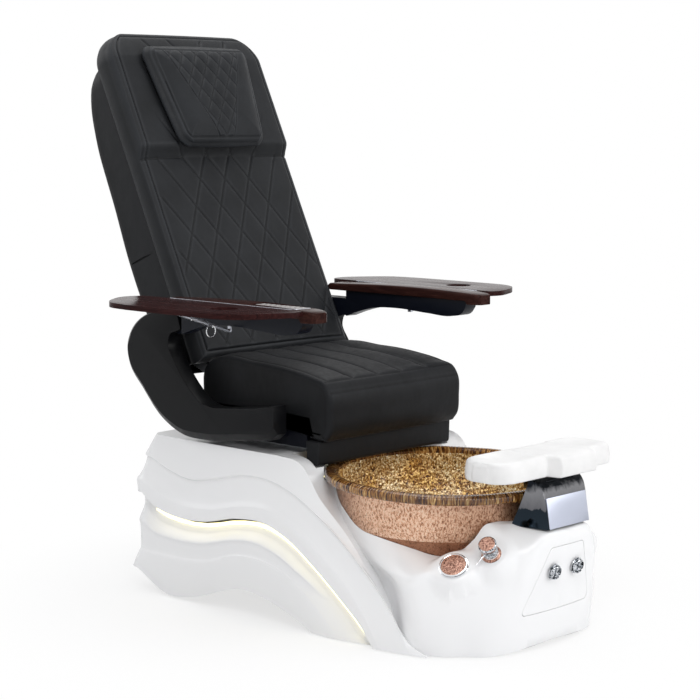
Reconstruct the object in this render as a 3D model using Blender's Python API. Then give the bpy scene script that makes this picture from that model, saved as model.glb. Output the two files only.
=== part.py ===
"""Pedicure spa chair: a massage seat with drop-side trays over a moulded foot-bath base.

The sitter faces -Y and +X is the sitter's left.  The chair is symmetric about X = 0 except
for the shower controls, the keypad and the tray's pull ring.  All sizes are metres.  Points
are written from CHAIR_DATUM, the floor point below the seat's middle, which one empty moves
to its place, so that the chair's box is centred on the origin.
"""
from math import asin, atan2, cos, degrees, exp, hypot, pi, radians, sin, sqrt

import bmesh
import bpy
import numpy as np
from mathutils import Matrix, Vector

# ---------------------------------------------------------------- driving dimensions
ORIGIN_SHIFT_Y = 0.0507         # chair datum behind the middle of the chair's box
GAP = 0.0004                    # between faces that seat on each other
CLEAR = 0.0015                  # between pieces that move past each other

# moulded base
BASE_TOP_Z = 0.421              # the plinth that the seat stands on
BASE_HALF_WIDTH = 0.332         # across the lower wave
BASE_REAR_Y = 0.434             # rearmost wave
BASE_WALL = 0.007               # laminate thickness
BASE_CORNER_R = 0.042           # rear corners, in plan
SKIRT_LIFT = 0.003              # the laminate stops this far above the floor
NOSE_FRONT_Y = -0.774           # front face, on the centre line

# foot bath bowl
BOWL_FRONT_Y = -0.700           # where the rim ends behind the spout
BOWL_HALF_WIDTH = 0.318         # to the rim's edge
BOWL_HALF_LENGTH = 0.300
BOWL_CENTRE_Y = BOWL_FRONT_Y + BOWL_HALF_LENGTH
BOWL_RIM_Z = 0.372              # mean height of the rim
BOWL_RIM_SLOPE = 0.055          # the rim falls towards the front
BOWL_RIM_DEPTH = 0.022          # height of the turned-over rim
BOWL_LIP = 0.028                # how far the rim stands out past the bowl's wall
BOWL_BOTTOM_Z = 0.135
BOWL_WALL = 0.006
BOWL_CLEAR = 0.0012             # between the bowl and the base's opening
DRAIN_R = 0.014


# floor frame and light
FLOOR_RAIL_X = 0.175
FLOOR_TUBE = 0.030
FLOOR_TUBE_Z = 0.052
FLOOR_FRONT_Y = -0.640
FLOOR_REAR_Y = 0.360
FLOOR_CROSS_Y = (-0.200, 0.000, 0.300)  # the end ones reach the side walls
FOOT_Y = (-0.600, 0.290)
FOOT_R = 0.024
LED_DEPTH = 0.007

# seat
SEAT_HALF_WIDTH = 0.250
SEAT_FRONT_Y = -0.230
SEAT_REAR_Y = 0.186
SEAT_TOP_Z = 0.640
SEAT_NOSE_Z = 0.605             # top of the cushion's front edge
SEAT_BOTTOM_Z = 0.500
SEAT_LIP_Z = 0.461              # the cushion's front hangs down to here
SEAT_CHANNELS = (0.045, 0.138)  # sewn channels in the cushion's top, each side of the middle
SEAM_DEPTH = 0.006
SEAT_PAN_FRONT_Y = -0.148
SEAT_PAN_REAR_Y = 0.262
SEAT_SLIDE = 0.100              # the seat travels forward this far
CROSS_TUBE_Y = (-0.060, 0.140)  # tubes that carry the side frames
RAIL_HEIGHT = 0.016
RAIL_X = 0.170
RAIL_FRONT_Y = -0.096
RAIL_REAR_Y = 0.270
SKIRT_BOTTOM_Z = 0.3975         # valance below the cushion's front

BACK_HALF_WIDTH = 0.270         # the backrest, which the side frames and arms stand beside
SEAT_PAN_HALF_WIDTH = BACK_HALF_WIDTH - 0.025    # wide enough to carry the recline lugs

# side frames
FRAME_INNER_X = BACK_HALF_WIDTH + 0.013
FRAME_THICK = 0.046
FRAME_TOP_Z = 0.752
FRAME_FRONT_Y = -0.114
FRAME_CHAMFER = 0.020           # along the outer rim
ARM_SPLIT_X = FRAME_INNER_X + 0.021             # the arm's eye laps the frame inside this plane
ARM_JOINT_Y = 0.2265            # the frame's upper end
ARM_PIVOT_Y = 0.315
ARM_PIVOT_Z = 0.722
ARM_EYE_R = 0.030
PIVOT_BOLT_R = 0.006

# arms
ARM_BEAM_INNER_X = FRAME_INNER_X + 0.003
ARM_BEAM_OUTER_X = ARM_BEAM_INNER_X + 0.0425
ARM_BEAM_REAR_Y = 0.222
ARM_TOP_Z = 0.7735
CAP_THICK = 0.024
CAP_INNER_X = ARM_BEAM_INNER_X - 0.010
CAP_OUTER_X = ARM_BEAM_OUTER_X + 0.0175
CAP_FRONT_Y = -0.262
CAP_REAR_Y = 0.285
CAP_ARCH = 0.007
KEYPAD_INNER_X = CAP_INNER_X + 0.008
KEYPAD_OUTER_X = CAP_OUTER_X - 0.008
KEYPAD_FRONT_Y = -0.205
KEYPAD_REAR_Y = -0.040
KEYPAD_Z = 0.7895

# side trays
TRAY_WIDTH = 0.195
TRAY_THICK = 0.013
TRAY_TOP_Z = 0.7960
TRAY_HINGE_X = CAP_OUTER_X + 0.0035
TRAY_HINGE_Z = 0.7945
TRAY_PIN_R = 0.0020
TRAY_PIN_SPAN = (-0.200, 0.240)
CUP_HOLE_R = 0.034
CUP_X = TRAY_HINGE_X + 0.0905
CUP_Y = -0.060
STAY_WIDTH = 0.012
STAY_Y = 0.030
STAY_ROOT_X = TRAY_HINGE_X + 0.1505  # where the stay is riveted under the tray
STAY_FOOT_X = ARM_BEAM_OUTER_X + 0.0085  # its foot bears on the arm's side
STAY_FOOT_Z = 0.7230
STAY_RIVET_X = TRAY_HINGE_X + 0.0505
PULL_RING_R = 0.0150
PULL_RING_WIRE = 0.0012

# backrest, in its own frame: U runs up along the back, V runs out to its front
BACK_TILT_DEG = 25.5
RECLINE_Y = 0.215
RECLINE_Z = 0.585
BACK_BOTTOM_U = 0.042
BACK_TOP_U = 0.975
BACK_CORNER_R = 0.085
CUSHION_BACK_V = -0.020         # where the cushion meets the shell
CUSHION_SEAM_V = 0.028
BACK_CROWN = 0.008
QUILT_PUFF = 0.007
HEAD_SEAM_U = 0.600
HEAD_SWELL = 0.024
DIAMOND_HALF_WIDTH = 0.045
DIAMOND_HALF_HEIGHT = 0.070
PANEL_COLUMNS = 22
BACK_ROWS = 24
SHELL_BOTTOM_U = 0.046
SHELL_TOP_U = 0.925
SHELL_SIDE_STEP = 0.006         # the shell is narrower than the cushion
SHELL_EDGE_R = 0.035
SHELL_WALL = 0.005
SHELL_PROFILE = ((0.03, 0.122), (0.15, 0.148), (0.29, 0.160), (0.40, 0.160), (0.54, 0.149),
                 (0.70, 0.144), (0.81, 0.124), (0.87, 0.096), (0.925, 0.050))

# recline hinge and massage works
HINGE_LUG_X = BACK_HALF_WIDTH - 0.055
HINGE_LUG_THICK = 0.008
HINGE_LUG_R = 0.021
HINGE_EAR_R = 0.020
HINGE_EAR_THICK = 0.008
MOTOR_R = 0.019
MOTOR_SHAFT_R = 0.008
MOTOR_HALF = HINGE_LUG_X - 0.025
GUIDE_X = 0.120
GUIDE_R = 0.008
GUIDE_V = -0.100
GUIDE_LOW_U = 0.090
GUIDE_HIGH_U = 0.760
CARRIAGE_U = 0.420
WHEEL_R = 0.028
AXLE_R = 0.005

# pillow
PILLOW_BOTTOM_U = 0.624
PILLOW_TOP_U = 0.909
PILLOW_HALF_TOP = 0.185
PILLOW_HALF_BOTTOM = 0.145
PILLOW_CORNER_R = 0.035
PILLOW_THICK = 0.045
PILLOW_ROWS = 12

# footrest
FOOTREST_HALF_WIDTH = 0.208
FOOTREST_FRONT_Y = -0.785
FOOTREST_REAR_Y = -0.612
FOOTREST_BOTTOM_Z = 0.4185
FOOTREST_THICK = 0.052
FOOTREST_POST_R = 0.010
FOOTREST_POST_Y = -0.7165
SLEEVE_WALL = 0.002
SLEEVE_LOW_Z = 0.245

# spout and shower controls
SPOUT_HALF_FRONT = 0.077
SPOUT_HALF_REAR = 0.106
SPOUT_DROP = 0.0045             # below the footrest
PLATE_THICK = 0.003
MIXER_AT = (-0.1835, -0.6905)
MIXER_RISE = 0.2450
MIXER_AXIS = (-0.68, -0.25, 0.69)
SPRAY_AT = (-0.2475, -0.6300)
SPRAY_RISE = 0.2180
SPRAY_AXIS = (-0.58, -0.24, 0.78)
SPRAY_R = 0.034
FRONT_KNOB_X = 0.044
FRONT_KNOB_Y = -0.7645
FRONT_KNOB_Z = 0.193
FRONT_KNOB_AXIS = (0.0, -1.0, -0.20)
VALVE_STEM_R = 0.006
FRONT_KNOB_R = 0.018

WAVE_COLUMNS = 20               # stations along each side of the base
NOSE_COLUMNS = 16

# ---------------------------------------------------------------- materials
COLOURS = {
    "gelcoat": ((0.86, 0.86, 0.85), 0.18, 0.0),
    "black_leather": ((0.030, 0.032, 0.035), 0.48, 0.0),
    "black_plastic": ((0.018, 0.020, 0.026), 0.38, 0.0),
    "burgundy_wood": ((0.060, 0.016, 0.014), 0.16, 0.0),
    "chrome": ((0.75, 0.76, 0.78), 0.08, 1.0),
    "satin_metal": ((0.50, 0.53, 0.60), 0.32, 1.0),
    "amber_glass": ((0.62, 0.32, 0.07), 0.15, 0.3),
    "rose_copper": ((0.72, 0.38, 0.24), 0.25, 0.9),
    "warm_led": ((1.00, 0.85, 0.45), 0.40, 0.0),
    "steel": ((0.35, 0.36, 0.38), 0.40, 0.9),
    "white_pad": ((0.88, 0.88, 0.87), 0.35, 0.0),
    "grey_plastic": ((0.25, 0.26, 0.28), 0.50, 0.0),
    "rubber": ((0.02, 0.02, 0.02), 0.80, 0.0),
}


def material(name):
    """One Principled material for each finish, made the first time it is asked for."""
    found = bpy.data.materials.get(name)
    if found:
        return found
    colour, roughness, metallic = COLOURS[name]
    made = bpy.data.materials.new(name)
    made.use_nodes = True
    shader = made.node_tree.nodes["Principled BSDF"]
    shader.inputs["Base Color"].default_value = (*colour, 1.0)
    shader.inputs["Roughness"].default_value = roughness
    shader.inputs["Metallic"].default_value = metallic
    made.diffuse_color = (*colour, 1.0)
    return made


# ---------------------------------------------------------------- placing
def clear_scene():
    for old in list(bpy.data.objects):
        bpy.data.objects.remove(old, do_unlink=True)


AXIS_POINT = {}                 # each pivot's place, in the frame its children are drawn in


def pivot(name, place, parent=None, tilt=0.0):
    """An empty on a joint's axis, placed in the frame that its parent's pieces are drawn in.

    A tilted pivot starts a frame of its own, whose pieces are drawn from the pivot.
    """
    empty = bpy.data.objects.new(name, None)
    origin = AXIS_POINT[parent.name] if parent else Vector()
    empty.location = Vector(place) - origin
    empty.rotation_euler = (tilt, 0.0, 0.0)
    empty.parent = parent
    empty.empty_display_size = 0.03
    bpy.context.collection.objects.link(empty)
    AXIS_POINT[name] = Vector() if tilt or not parent else Vector(place)
    return empty


def part(name, mesh, finish, parent, bevel=0.0, segments=1, bevel_angle=40):
    """A named sub-part.  Its points are shifted so that its origin lies on its parent's axis."""
    data = bpy.data.meshes.new(name)
    mesh.to_mesh(data)
    mesh.free()
    data.transform(Matrix.Translation(-AXIS_POINT[parent.name]))
    data.materials.append(material(finish))
    data.shade_smooth()
    data.set_sharp_from_angle(angle=radians(35))
    made = bpy.data.objects.new(name, data)
    made.parent = parent
    bpy.context.collection.objects.link(made)
    if bevel:
        edge = made.modifiers.new("edge_radius", "BEVEL")
        edge.width = bevel
        edge.segments = segments
        edge.limit_method = "ANGLE"
        edge.angle_limit = radians(bevel_angle)
    return made


def cutter(name, mesh, parent):
    """A tool body for Booleans, left out of the model."""
    made = part(name, mesh, "grey_plastic", parent)
    made.hide_render = True
    made.display_type = "WIRE"
    return made


def boolean(target, tool, operation="DIFFERENCE"):
    cut = target.modifiers.new(f"{operation.lower()}_{tool.name}", "BOOLEAN")
    cut.operation = operation
    cut.solver = "EXACT"
    cut.object = tool
    return target


# ---------------------------------------------------------------- shapes
def smooth_path(points, count):
    """count points on a smooth curve through the given ones, evenly spaced along it."""
    knots = np.array(points, float)
    steps = np.linalg.norm(np.diff(knots, axis=0), axis=1)
    at = np.concatenate([[0.0], np.cumsum(steps)])
    slopes = np.gradient(knots, at, axis=0)
    wanted = np.linspace(0.0, at[-1], count)
    path = []
    for value in wanted:
        k = min(int(np.searchsorted(at, value, side="right")) - 1, len(at) - 2)
        span = at[k + 1] - at[k]
        t = (value - at[k]) / span
        h00, h10 = (1 + 2 * t) * (1 - t) ** 2, t * (1 - t) ** 2
        h01, h11 = t * t * (3 - 2 * t), t * t * (t - 1)
        point = h00 * knots[k] + h01 * knots[k + 1]
        path.append(point + span * (h10 * slopes[k] + h11 * slopes[k + 1]))
    return np.array(path)


def rings_mesh(rings, closed_ring=True, caps=True):
    """Skin between rings of equal length; the first and last are capped."""
    shape = bmesh.new()
    rows = [[shape.verts.new(tuple(p)) for p in ring] for ring in rings]
    count = len(rows[0])
    last = count if closed_ring else count - 1
    for low, high in zip(rows, rows[1:]):
        for k in range(last):
            n = (k + 1) % count
            shape.faces.new((low[k], low[n], high[n], high[k]))
    if caps:
        shape.faces.new(rows[0][::-1])
        shape.faces.new(rows[-1])
    bmesh.ops.recalc_face_normals(shape, faces=shape.faces)
    return shape


def mirrored_solid(rows):
    """A closed solid from half rows that start on X = 0 or are bridged straight across.

    Each row runs from the first station to the last on the -X side and is mirrored.  The
    first row is bridged below, the last row above, and the ends are closed.
    """
    shape = bmesh.new()
    sides = []
    for sign in (-1, 1):
        sides.append([[None] * len(rows[0]) for _ in rows])
    for r, row in enumerate(rows):
        for c, (x, y, z) in enumerate(row):
            if abs(x) < 1e-6:
                shared = shape.verts.new((0.0, y, z))
                sides[0][r][c] = sides[1][r][c] = shared
            else:
                sides[0][r][c] = shape.verts.new((-abs(x), y, z))
                sides[1][r][c] = shape.verts.new((abs(x), y, z))

    def face(*corners):
        unique = []
        for corner in corners:
            if corner not in unique:
                unique.append(corner)
        if len(unique) > 2:
            shape.faces.new(unique)

    columns = len(rows[0])
    for near in sides:
        for r in range(len(rows) - 1):
            for c in range(columns - 1):
                face(near[r][c], near[r][c + 1], near[r + 1][c + 1], near[r + 1][c])
    left, right = sides
    for r in (0, len(rows) - 1):
        for c in range(columns - 1):
            face(left[r][c], left[r][c + 1], right[r][c + 1], right[r][c])
    for c in (0, columns - 1):
        if left[0][c] is not right[0][c]:
            face(*[left[r][c] for r in range(len(rows))],
                 *[right[r][c] for r in reversed(range(len(rows)))])
    bmesh.ops.recalc_face_normals(shape, faces=shape.faces)
    bmesh.ops.triangulate(shape, faces=shape.faces, quad_method="FIXED")
    return shape


def extrude_x(outline, x0, x1):
    """A plate whose outline of (y, z) points is extruded from x0 to x1."""
    low, high = sorted((x0, x1))
    return rings_mesh([[(low, y, z) for y, z in outline], [(high, y, z) for y, z in outline]])


def extrude_z(outline, z0, z1):
    """A plate whose outline of (x, y) points is extruded from z0 to z1."""
    return rings_mesh([[(x, y, z0) for x, y in outline], [(x, y, z1) for x, y in outline]])


def box(x0, x1, y0, y1, z0, z1):
    return extrude_z([(x0, y0), (x1, y0), (x1, y1), (x0, y1)], z0, z1)


def turned(profile, base, axis=(0, 0, 1), sides=24):
    """A solid of revolution.  profile holds (radius, height) points along the axis."""
    turn = Vector(axis).normalized().to_track_quat("Z", "Y").to_matrix().to_4x4()
    place = Matrix.Translation(base) @ turn
    shape = bmesh.new()
    rows = []
    for radius, height in profile:
        if radius < 1e-7:
            rows.append([shape.verts.new(place @ Vector((0, 0, height)))])
            continue
        ring = []
        for k in range(sides):
            angle = 2 * pi * k / sides
            spot = Vector((radius * cos(angle), radius * sin(angle), height))
            ring.append(shape.verts.new(place @ spot))
        rows.append(ring)
    closed = profile[0] == profile[-1]
    if closed:
        for vert in rows[-1]:
            shape.verts.remove(vert)
        rows[-1] = rows[0]
    for low, high in zip(rows, rows[1:]):
        for k in range(sides):
            n = (k + 1) % sides
            corners = [low[k % len(low)], low[n % len(low)], high[n % len(high)], high[k % len(high)]]
            unique = list(dict.fromkeys(corners))
            shape.faces.new(unique)
    if not closed:
        for ring in (rows[0], rows[-1]):
            if len(ring) > 1:
                shape.faces.new(ring)
    bmesh.ops.recalc_face_normals(shape, faces=shape.faces)
    return shape


def rod(radius, start, end, sides=16):
    run = Vector(end) - Vector(start)
    return turned([(radius, 0.0), (radius, run.length)], start, run, sides)


def arc(cy, cz, radius, start, end, count):
    """Points on a circle in a plane, angles in degrees."""
    angles = [radians(start + (end - start) * k / (count - 1)) for k in range(count)]
    return [(cy + radius * cos(a), cz + radius * sin(a)) for a in angles]


def rounded_outline(corners, radius, steps=3):
    """A convex outline with each corner rounded by an arc of the given radius."""
    outline = []
    count = len(corners)
    for k, corner in enumerate(corners):
        here = Vector(corner)
        before = (Vector(corners[k - 1]) - here).normalized()
        after = (Vector(corners[(k + 1) % count]) - here).normalized()
        half = before.angle(after) / 2
        reach = radius / np.tan(half)
        start, end = here + before * reach, here + after * reach
        centre = here + (before + after).normalized() * (radius / sin(half))
        a0 = atan2(*(start - centre).yx)
        sweep = (atan2(*(end - centre).yx) - a0 + pi) % (2 * pi) - pi
        for step in range(steps + 1):
            angle = a0 + sweep * step / steps
            outline.append((centre.x + radius * cos(angle), centre.y + radius * sin(angle)))
    return outline


def band(a, b, x):
    """Linear blend from a to b."""
    return a + (b - a) * x


# ---------------------------------------------------------------- base shell
def wave_rows(inset):
    """The wavy side of the plinth: rows from the floor edge up to the shoulder.

    Each row gives its half width, its rear face, and (y, z) points along the side.  The rows
    sweep down to the floor one behind the other, as draped layers do.
    """
    low = SKIRT_LIFT
    top = BASE_TOP_Z
    width, rear = BASE_HALF_WIDTH, BASE_REAR_Y
    led = [(0.392, 0.266), (0.345, 0.240), (0.256, 0.220), (0.151, 0.222), (0.019, 0.249),
           (-0.068, 0.252), (-0.153, 0.227), (-0.246, 0.172), (-0.341, 0.103), (-0.410, 0.047),
           (-0.447, low)]
    rows = [
        (width + 0.002, rear + 0.014, [(0.33, 0.060), (0.27, 0.006), (0.20, 0.014),
                                       (-0.012, 0.069), (-0.20, 0.026), (-0.258, low),
                                       (-0.30, low)]),
        (width - 0.003, rear - 0.010, [(0.296, 0.107), (0.147, 0.118), (0.015, 0.153),
                                       (-0.083, 0.151), (-0.182, 0.119), (-0.275, 0.058),
                                       (-0.340, low)]),
        (width - 0.021, rear - 0.012, [(y + 0.010, max(z - 0.034, low)) for y, z in led]),
        (width - 0.021, rear - 0.012, [(y, max(z - 0.003, low)) for y, z in led]),
        (width, rear - 0.008, [(y - 0.004, max(z, low)) for y, z in led]),
        (width - 0.001, rear - 0.004, [(y - 0.022, z + 0.035 * min(1, z / 0.1))
                                       for y, z in led]),
        (width - 0.019, rear - 0.028, [(0.39, 0.364), (0.298, 0.340), (0.205, 0.323),
                                       (0.124, 0.335), (-0.003, 0.361), (-0.089, 0.359),
                                       (-0.163, 0.339), (-0.270, 0.285), (-0.396, 0.194),
                                       (-0.496, 0.094), (-0.550, low)]),
        (width - 0.032, rear - 0.050, [(0.25, top), (-0.10, top), (-0.175, top - 0.009),
                                       (-0.246, 0.332), (-0.340, 0.252), (-0.419, 0.164),
                                       (-0.541, 0.026), (-0.594, low)]),
        (width - 0.044, rear - 0.062, [(0.24, top), (-0.09, top), (-0.165, top - 0.012),
                                       (-0.236, 0.322), (-0.332, 0.240), (-0.411, 0.150),
                                       (-0.530, 0.020), (-0.590, low)]),
    ]
    result = []
    for index, (half, back, side) in enumerate(rows):
        half -= inset
        back -= inset
        radius = BASE_CORNER_R - inset
        rear_z = side[0][1]
        plan = [(0.0, back + 0.006, rear_z), ((half - radius) * 0.6, back + 0.004, rear_z),
                (half - radius, back, rear_z)]
        for angle in (22.5, 45.0, 67.5):
            turn = radians(angle)
            plan.append((half - radius + radius * sin(turn),
                         back - radius + radius * cos(turn), rear_z))
        ease = 1.6 * inset if index else 0.0
        path = [(half, back - radius, rear_z)] + [(half, y + ease, z) for y, z in side[1:]]
        row = plan + [tuple(p) for p in smooth_path(path, WAVE_COLUMNS)]
        drop = inset if index > 5 else 0.0
        row = [(x, y, min(max(z, low), top) - drop) for x, y, z in row]
        if inset and index == 0:
            row = [(x, y, -0.03) for x, y, z in row]
        elif inset:
            row = [(x, y, z - 0.010) for x, y, z in row]
        result.append(row)
    return result


def nose_rows(inset):
    """The rounded front body: rows from the floor edge up over the deck to the bath."""
    low = SKIRT_LIFT
    front = NOSE_FRONT_Y
    rows = [
        [(0.22, -0.20, low), (0.27, -0.40, low), (0.298, -0.54, low), (0.272, -0.615, low),
         (0.237, -0.652, low), (0.200, -0.693, low), (0.126, -0.724, 0.008),
         (0.05, front + 0.038, 0.020), (0.0, front + 0.036, 0.024)],
        [(0.22, -0.20, 0.10), (0.25, -0.36, 0.10), (0.268, -0.47, 0.10), (0.316, -0.575, 0.10),
         (0.285, -0.622, 0.10), (0.204, -0.706, 0.10), (0.188, -0.718, 0.10),
         (0.09, front + 0.036, 0.10), (0.0, front + 0.031, 0.10)],
        [(0.22, -0.20, 0.16), (0.245, -0.34, 0.16), (0.272, -0.45, 0.165),
         (0.322, -0.560, 0.165), (0.293, -0.597, 0.17), (0.160, -0.735, 0.18),
         (0.144, -0.750, 0.182), (0.08, front + 0.014, 0.185), (0.0, front + 0.012, 0.185)],
        [(0.22, -0.20, 0.30), (0.262, -0.30, 0.262), (0.282, -0.39, 0.212),
         (0.308, -0.50, 0.190), (0.308, -0.565, 0.196), (0.276, -0.607, 0.212),
         (0.200, -0.683, 0.236), (0.118, -0.762, 0.262), (0.084, -0.776, 0.288),
         (0.0, front - 0.007, 0.290)],
        [(0.20, -0.20, 0.385), (0.262, -0.292, 0.362), (0.262, -0.325, 0.300),
         (0.258, -0.40, 0.264), (0.240, -0.494, 0.236), (0.213, -0.572, 0.230),
         (0.180, -0.63, 0.262), (0.150, -0.655, 0.298), (0.098, -0.680, 0.326),
         (0.0, -0.694, 0.330)],
    ]
    result = []
    for index, side in enumerate(rows):
        path = []
        for x, y, z in side:
            y += inset * (1.2 if y < -0.6 else 0.0)
            x -= inset if x > 0.01 else 0.0
            path.append((x, y, z - (inset if index > 2 else 0.0)))
        row = [tuple(p) for p in smooth_path(path, NOSE_COLUMNS)]
        row[-1] = (0.0, row[-1][1], row[-1][2])
        if inset and index == 0:
            row = [(x, y, -0.03) for x, y, z in row]
        result.append(row)
    return result


def bowl_ring(level, grow, steps, at_z=None):
    """One ring of the bath at a level from 0 (rim) to 1 (bottom), grown by a distance."""
    depth = BOWL_RIM_Z - BOWL_BOTTOM_Z
    swell = sqrt(1.0 - (max(level, 0.0) * 0.995) ** 2.6)
    half_x = (BOWL_HALF_WIDTH - BOWL_LIP) * swell ** 0.80 + grow
    half_y = (BOWL_HALF_LENGTH - BOWL_LIP) * swell ** 0.80 + grow
    ring = []
    for k in range(steps):
        angle = 2 * pi * k / steps
        power = 2.0 if cos(angle) > 0 else 2.7
        x = half_x * np.sign(sin(angle)) * abs(sin(angle)) ** (2 / power)
        y = BOWL_CENTRE_Y + half_y * np.sign(cos(angle)) * abs(cos(angle)) ** (2 / power)
        slope = BOWL_RIM_SLOPE * (y - BOWL_CENTRE_Y) * (1.0 - level)
        z = BOWL_RIM_Z - depth * level + slope
        ring.append((x, y, z if at_z is None else at_z))
    return ring


BOWL_STEPS = 36
BOWL_LEVELS = (0.09, 0.22, 0.36, 0.50, 0.64, 0.78, 0.89, 0.96)


def bowl_floor():
    """Height of the bath's underside, at its lowest ring."""
    return band(BOWL_RIM_Z, BOWL_BOTTOM_Z, BOWL_LEVELS[-1])


def bowl_tool(grow, cap_up=True):
    """The space that the bath takes, for cutting what it passes through.

    With cap_up it runs on above the plinth, so that the bath drops in from above.
    """
    seat = BOWL_LEVELS[0] + 0.002
    rings = [bowl_ring(level, grow, BOWL_STEPS) for level in reversed(BOWL_LEVELS[1:])]
    rings.append(bowl_ring(seat, grow, BOWL_STEPS))
    rings.append(bowl_ring(seat, grow + BOWL_LIP, BOWL_STEPS))
    if cap_up:
        rings.append(bowl_ring(0.0, grow + BOWL_LIP, BOWL_STEPS, BASE_TOP_Z + 0.05))
    else:
        rings.append(bowl_ring(-0.030, grow + BOWL_LIP, BOWL_STEPS))
    return rings_mesh(rings)


def sleeve_hole():
    """Bore for the footrest's sleeve."""
    return rod(FOOTREST_POST_R + SLEEVE_WALL + GAP, (0, FOOTREST_POST_Y, SLEEVE_LOW_Z - 0.02),
               (0, FOOTREST_POST_Y, FOOTREST_BOTTOM_Z + 0.02), 20)


def panel_prism(margin, y0, y1):
    """Outline of the front access panel, grown by a margin, run through the front wall."""
    corners = [(-0.132, 0.093), (0.132, 0.093), (0.062, 0.252), (-0.062, 0.252)]
    outline = []
    for x, z in corners:
        outline.append((x + margin * np.sign(x), z + margin * (1 if z > 0.2 else -1)))
    outline = rounded_outline(outline, 0.012)
    return rings_mesh([[(x, y0, z) for x, z in outline], [(x, y1, z) for x, z in outline]])


def front_wall(root):
    """A closed copy of the nose's laminate, used to make the flush access panel."""
    solid = cutter("tool_panel_skin", mirrored_solid(nose_rows(0.0)), root)
    hollow = cutter("tool_panel_hollow", mirrored_solid(nose_rows(BASE_WALL)), root)
    boolean(solid, hollow)
    return solid


def add_boss(shell, name, at, rise, axis, radius, root):
    """A flat round boss under a deck fitting, faced level with the fitting's base."""
    face = Vector((at[0], at[1], rise))
    base = face - Vector(axis).normalized() * 0.030
    body = turned([(radius + 0.006, 0.0), (radius, 0.030)], base, axis, 24)
    boolean(shell, cutter(f"tool_boss_{name}", body, root), "UNION")
    room = turned([(radius - 0.001, 0.0), (radius + 0.004, 0.030)], face, axis, 24)
    boolean(shell, cutter(f"tool_facing_{name}", room, root))


def build_base(root):
    shell = part("base_shell", mirrored_solid(wave_rows(0.0)), "gelcoat", root)
    nose = cutter("tool_nose", mirrored_solid(nose_rows(0.0)), root)
    boolean(shell, nose, "UNION")
    add_boss(shell, "mixer", MIXER_AT, MIXER_RISE, MIXER_AXIS, 0.029, root)
    add_boss(shell, "spray", SPRAY_AT, SPRAY_RISE, SPRAY_AXIS, SPRAY_R + 0.004, root)
    hollow = cutter("tool_plinth_hollow", mirrored_solid(wave_rows(BASE_WALL)), root)
    boolean(shell, hollow)
    nose_hollow = cutter("tool_nose_hollow", mirrored_solid(nose_rows(BASE_WALL)), root)
    boolean(shell, nose_hollow)
    bath = cutter("tool_bath", bowl_tool(BOWL_CLEAR), root)
    boolean(shell, bath)
    half = SEAT_HALF_WIDTH + CLEAR
    notch = cutter("tool_skirt_notch",
                   box(-half, half, -0.60, -0.100, SKIRT_BOTTOM_Z - 0.004, BASE_TOP_Z + 0.05), root)
    boolean(shell, notch)
    opening = cutter("tool_panel_opening", panel_prism(0.0012, -0.90, -0.70), root)
    boolean(shell, opening)
    sleeve = cutter("tool_sleeve_hole", sleeve_hole(), root)
    boolean(shell, sleeve)
    hose = Vector(SPRAY_AXIS).normalized()
    centre = Vector((*SPRAY_AT, SPRAY_RISE))
    bore = cutter("tool_spray_bore", rod(0.0110, centre - hose * 0.060, centre + hose * 0.020, 16),
                  root)
    boolean(shell, bore)

    panel = part("front_access_panel", panel_prism(0.0, -0.90, -0.70), "gelcoat", root)
    boolean(panel, front_wall(root), "INTERSECT")
    for side in (-1, 1):
        base = Vector((side * FRONT_KNOB_X, FRONT_KNOB_Y, FRONT_KNOB_Z))
        out = Vector(FRONT_KNOB_AXIS).normalized()
        spindle = cutter(f"tool_valve_hole_{side}",
                         rod(VALVE_STEM_R + GAP, base - out * 0.03, base + out * 0.02, 12), root)
        boolean(panel, spindle)
    return shell, panel


# ---------------------------------------------------------------- bowl
def build_bowl(root):
    steps = BOWL_STEPS
    outer = [bowl_ring(level, 0.0, steps) for level in BOWL_LEVELS]
    inner = [bowl_ring(level, -BOWL_WALL, steps) for level in BOWL_LEVELS]
    inner = [[(x, y, z + BOWL_WALL) for x, y, z in ring] for ring in inner]
    rim = [bowl_ring(0.09, BOWL_LIP * 0.85, steps), bowl_ring(0.05, BOWL_LIP, steps),
           bowl_ring(0.005, BOWL_LIP * 0.90, steps), bowl_ring(-0.010, BOWL_LIP * 0.35, steps),
           bowl_ring(0.012, -0.002, steps)]
    rings = list(reversed(outer)) + rim + inner
    bowl = part("foot_bowl", rings_mesh(rings), "amber_glass", root)
    drain = cutter("tool_drain_hole", rod(DRAIN_R + GAP, (0, BOWL_CENTRE_Y, bowl_floor() - 0.02),
                                          (0, BOWL_CENTRE_Y, bowl_floor() + 0.04), 16), root)
    boolean(bowl, drain)
    return bowl


def build_bath_fittings(root):
    """Strainer through the bath's floor, with the drain pump right below it."""
    low = bowl_floor()
    high = low + BOWL_WALL + 0.0008
    centre = (0.0, BOWL_CENTRE_Y, 0.0)
    dome = [(0.0, high + 0.007), (0.020, high + 0.006), (0.028, high + 0.002), (0.028, high),
            (DRAIN_R, high), (DRAIN_R, low - 0.001), (0.0, low - 0.001)]
    part("drain_strainer", turned(dome, centre, sides=16), "chrome", root)
    top = low - 0.001 - GAP
    body = [(0.0, top), (0.024, top), (0.024, top - 0.020), (0.045, top - 0.024),
            (0.045, 0.062), (0.030, 0.050), (0.0, 0.050)]
    part("drain_pump", turned(body, centre, sides=16), "grey_plastic", root)
    low = FLOOR_TUBE_Z + FLOOR_TUBE + GAP
    part("control_box", box(-0.075, 0.075, -0.03, 0.12, low, low + 0.070), "grey_plastic", root,
         bevel=0.004)


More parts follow.
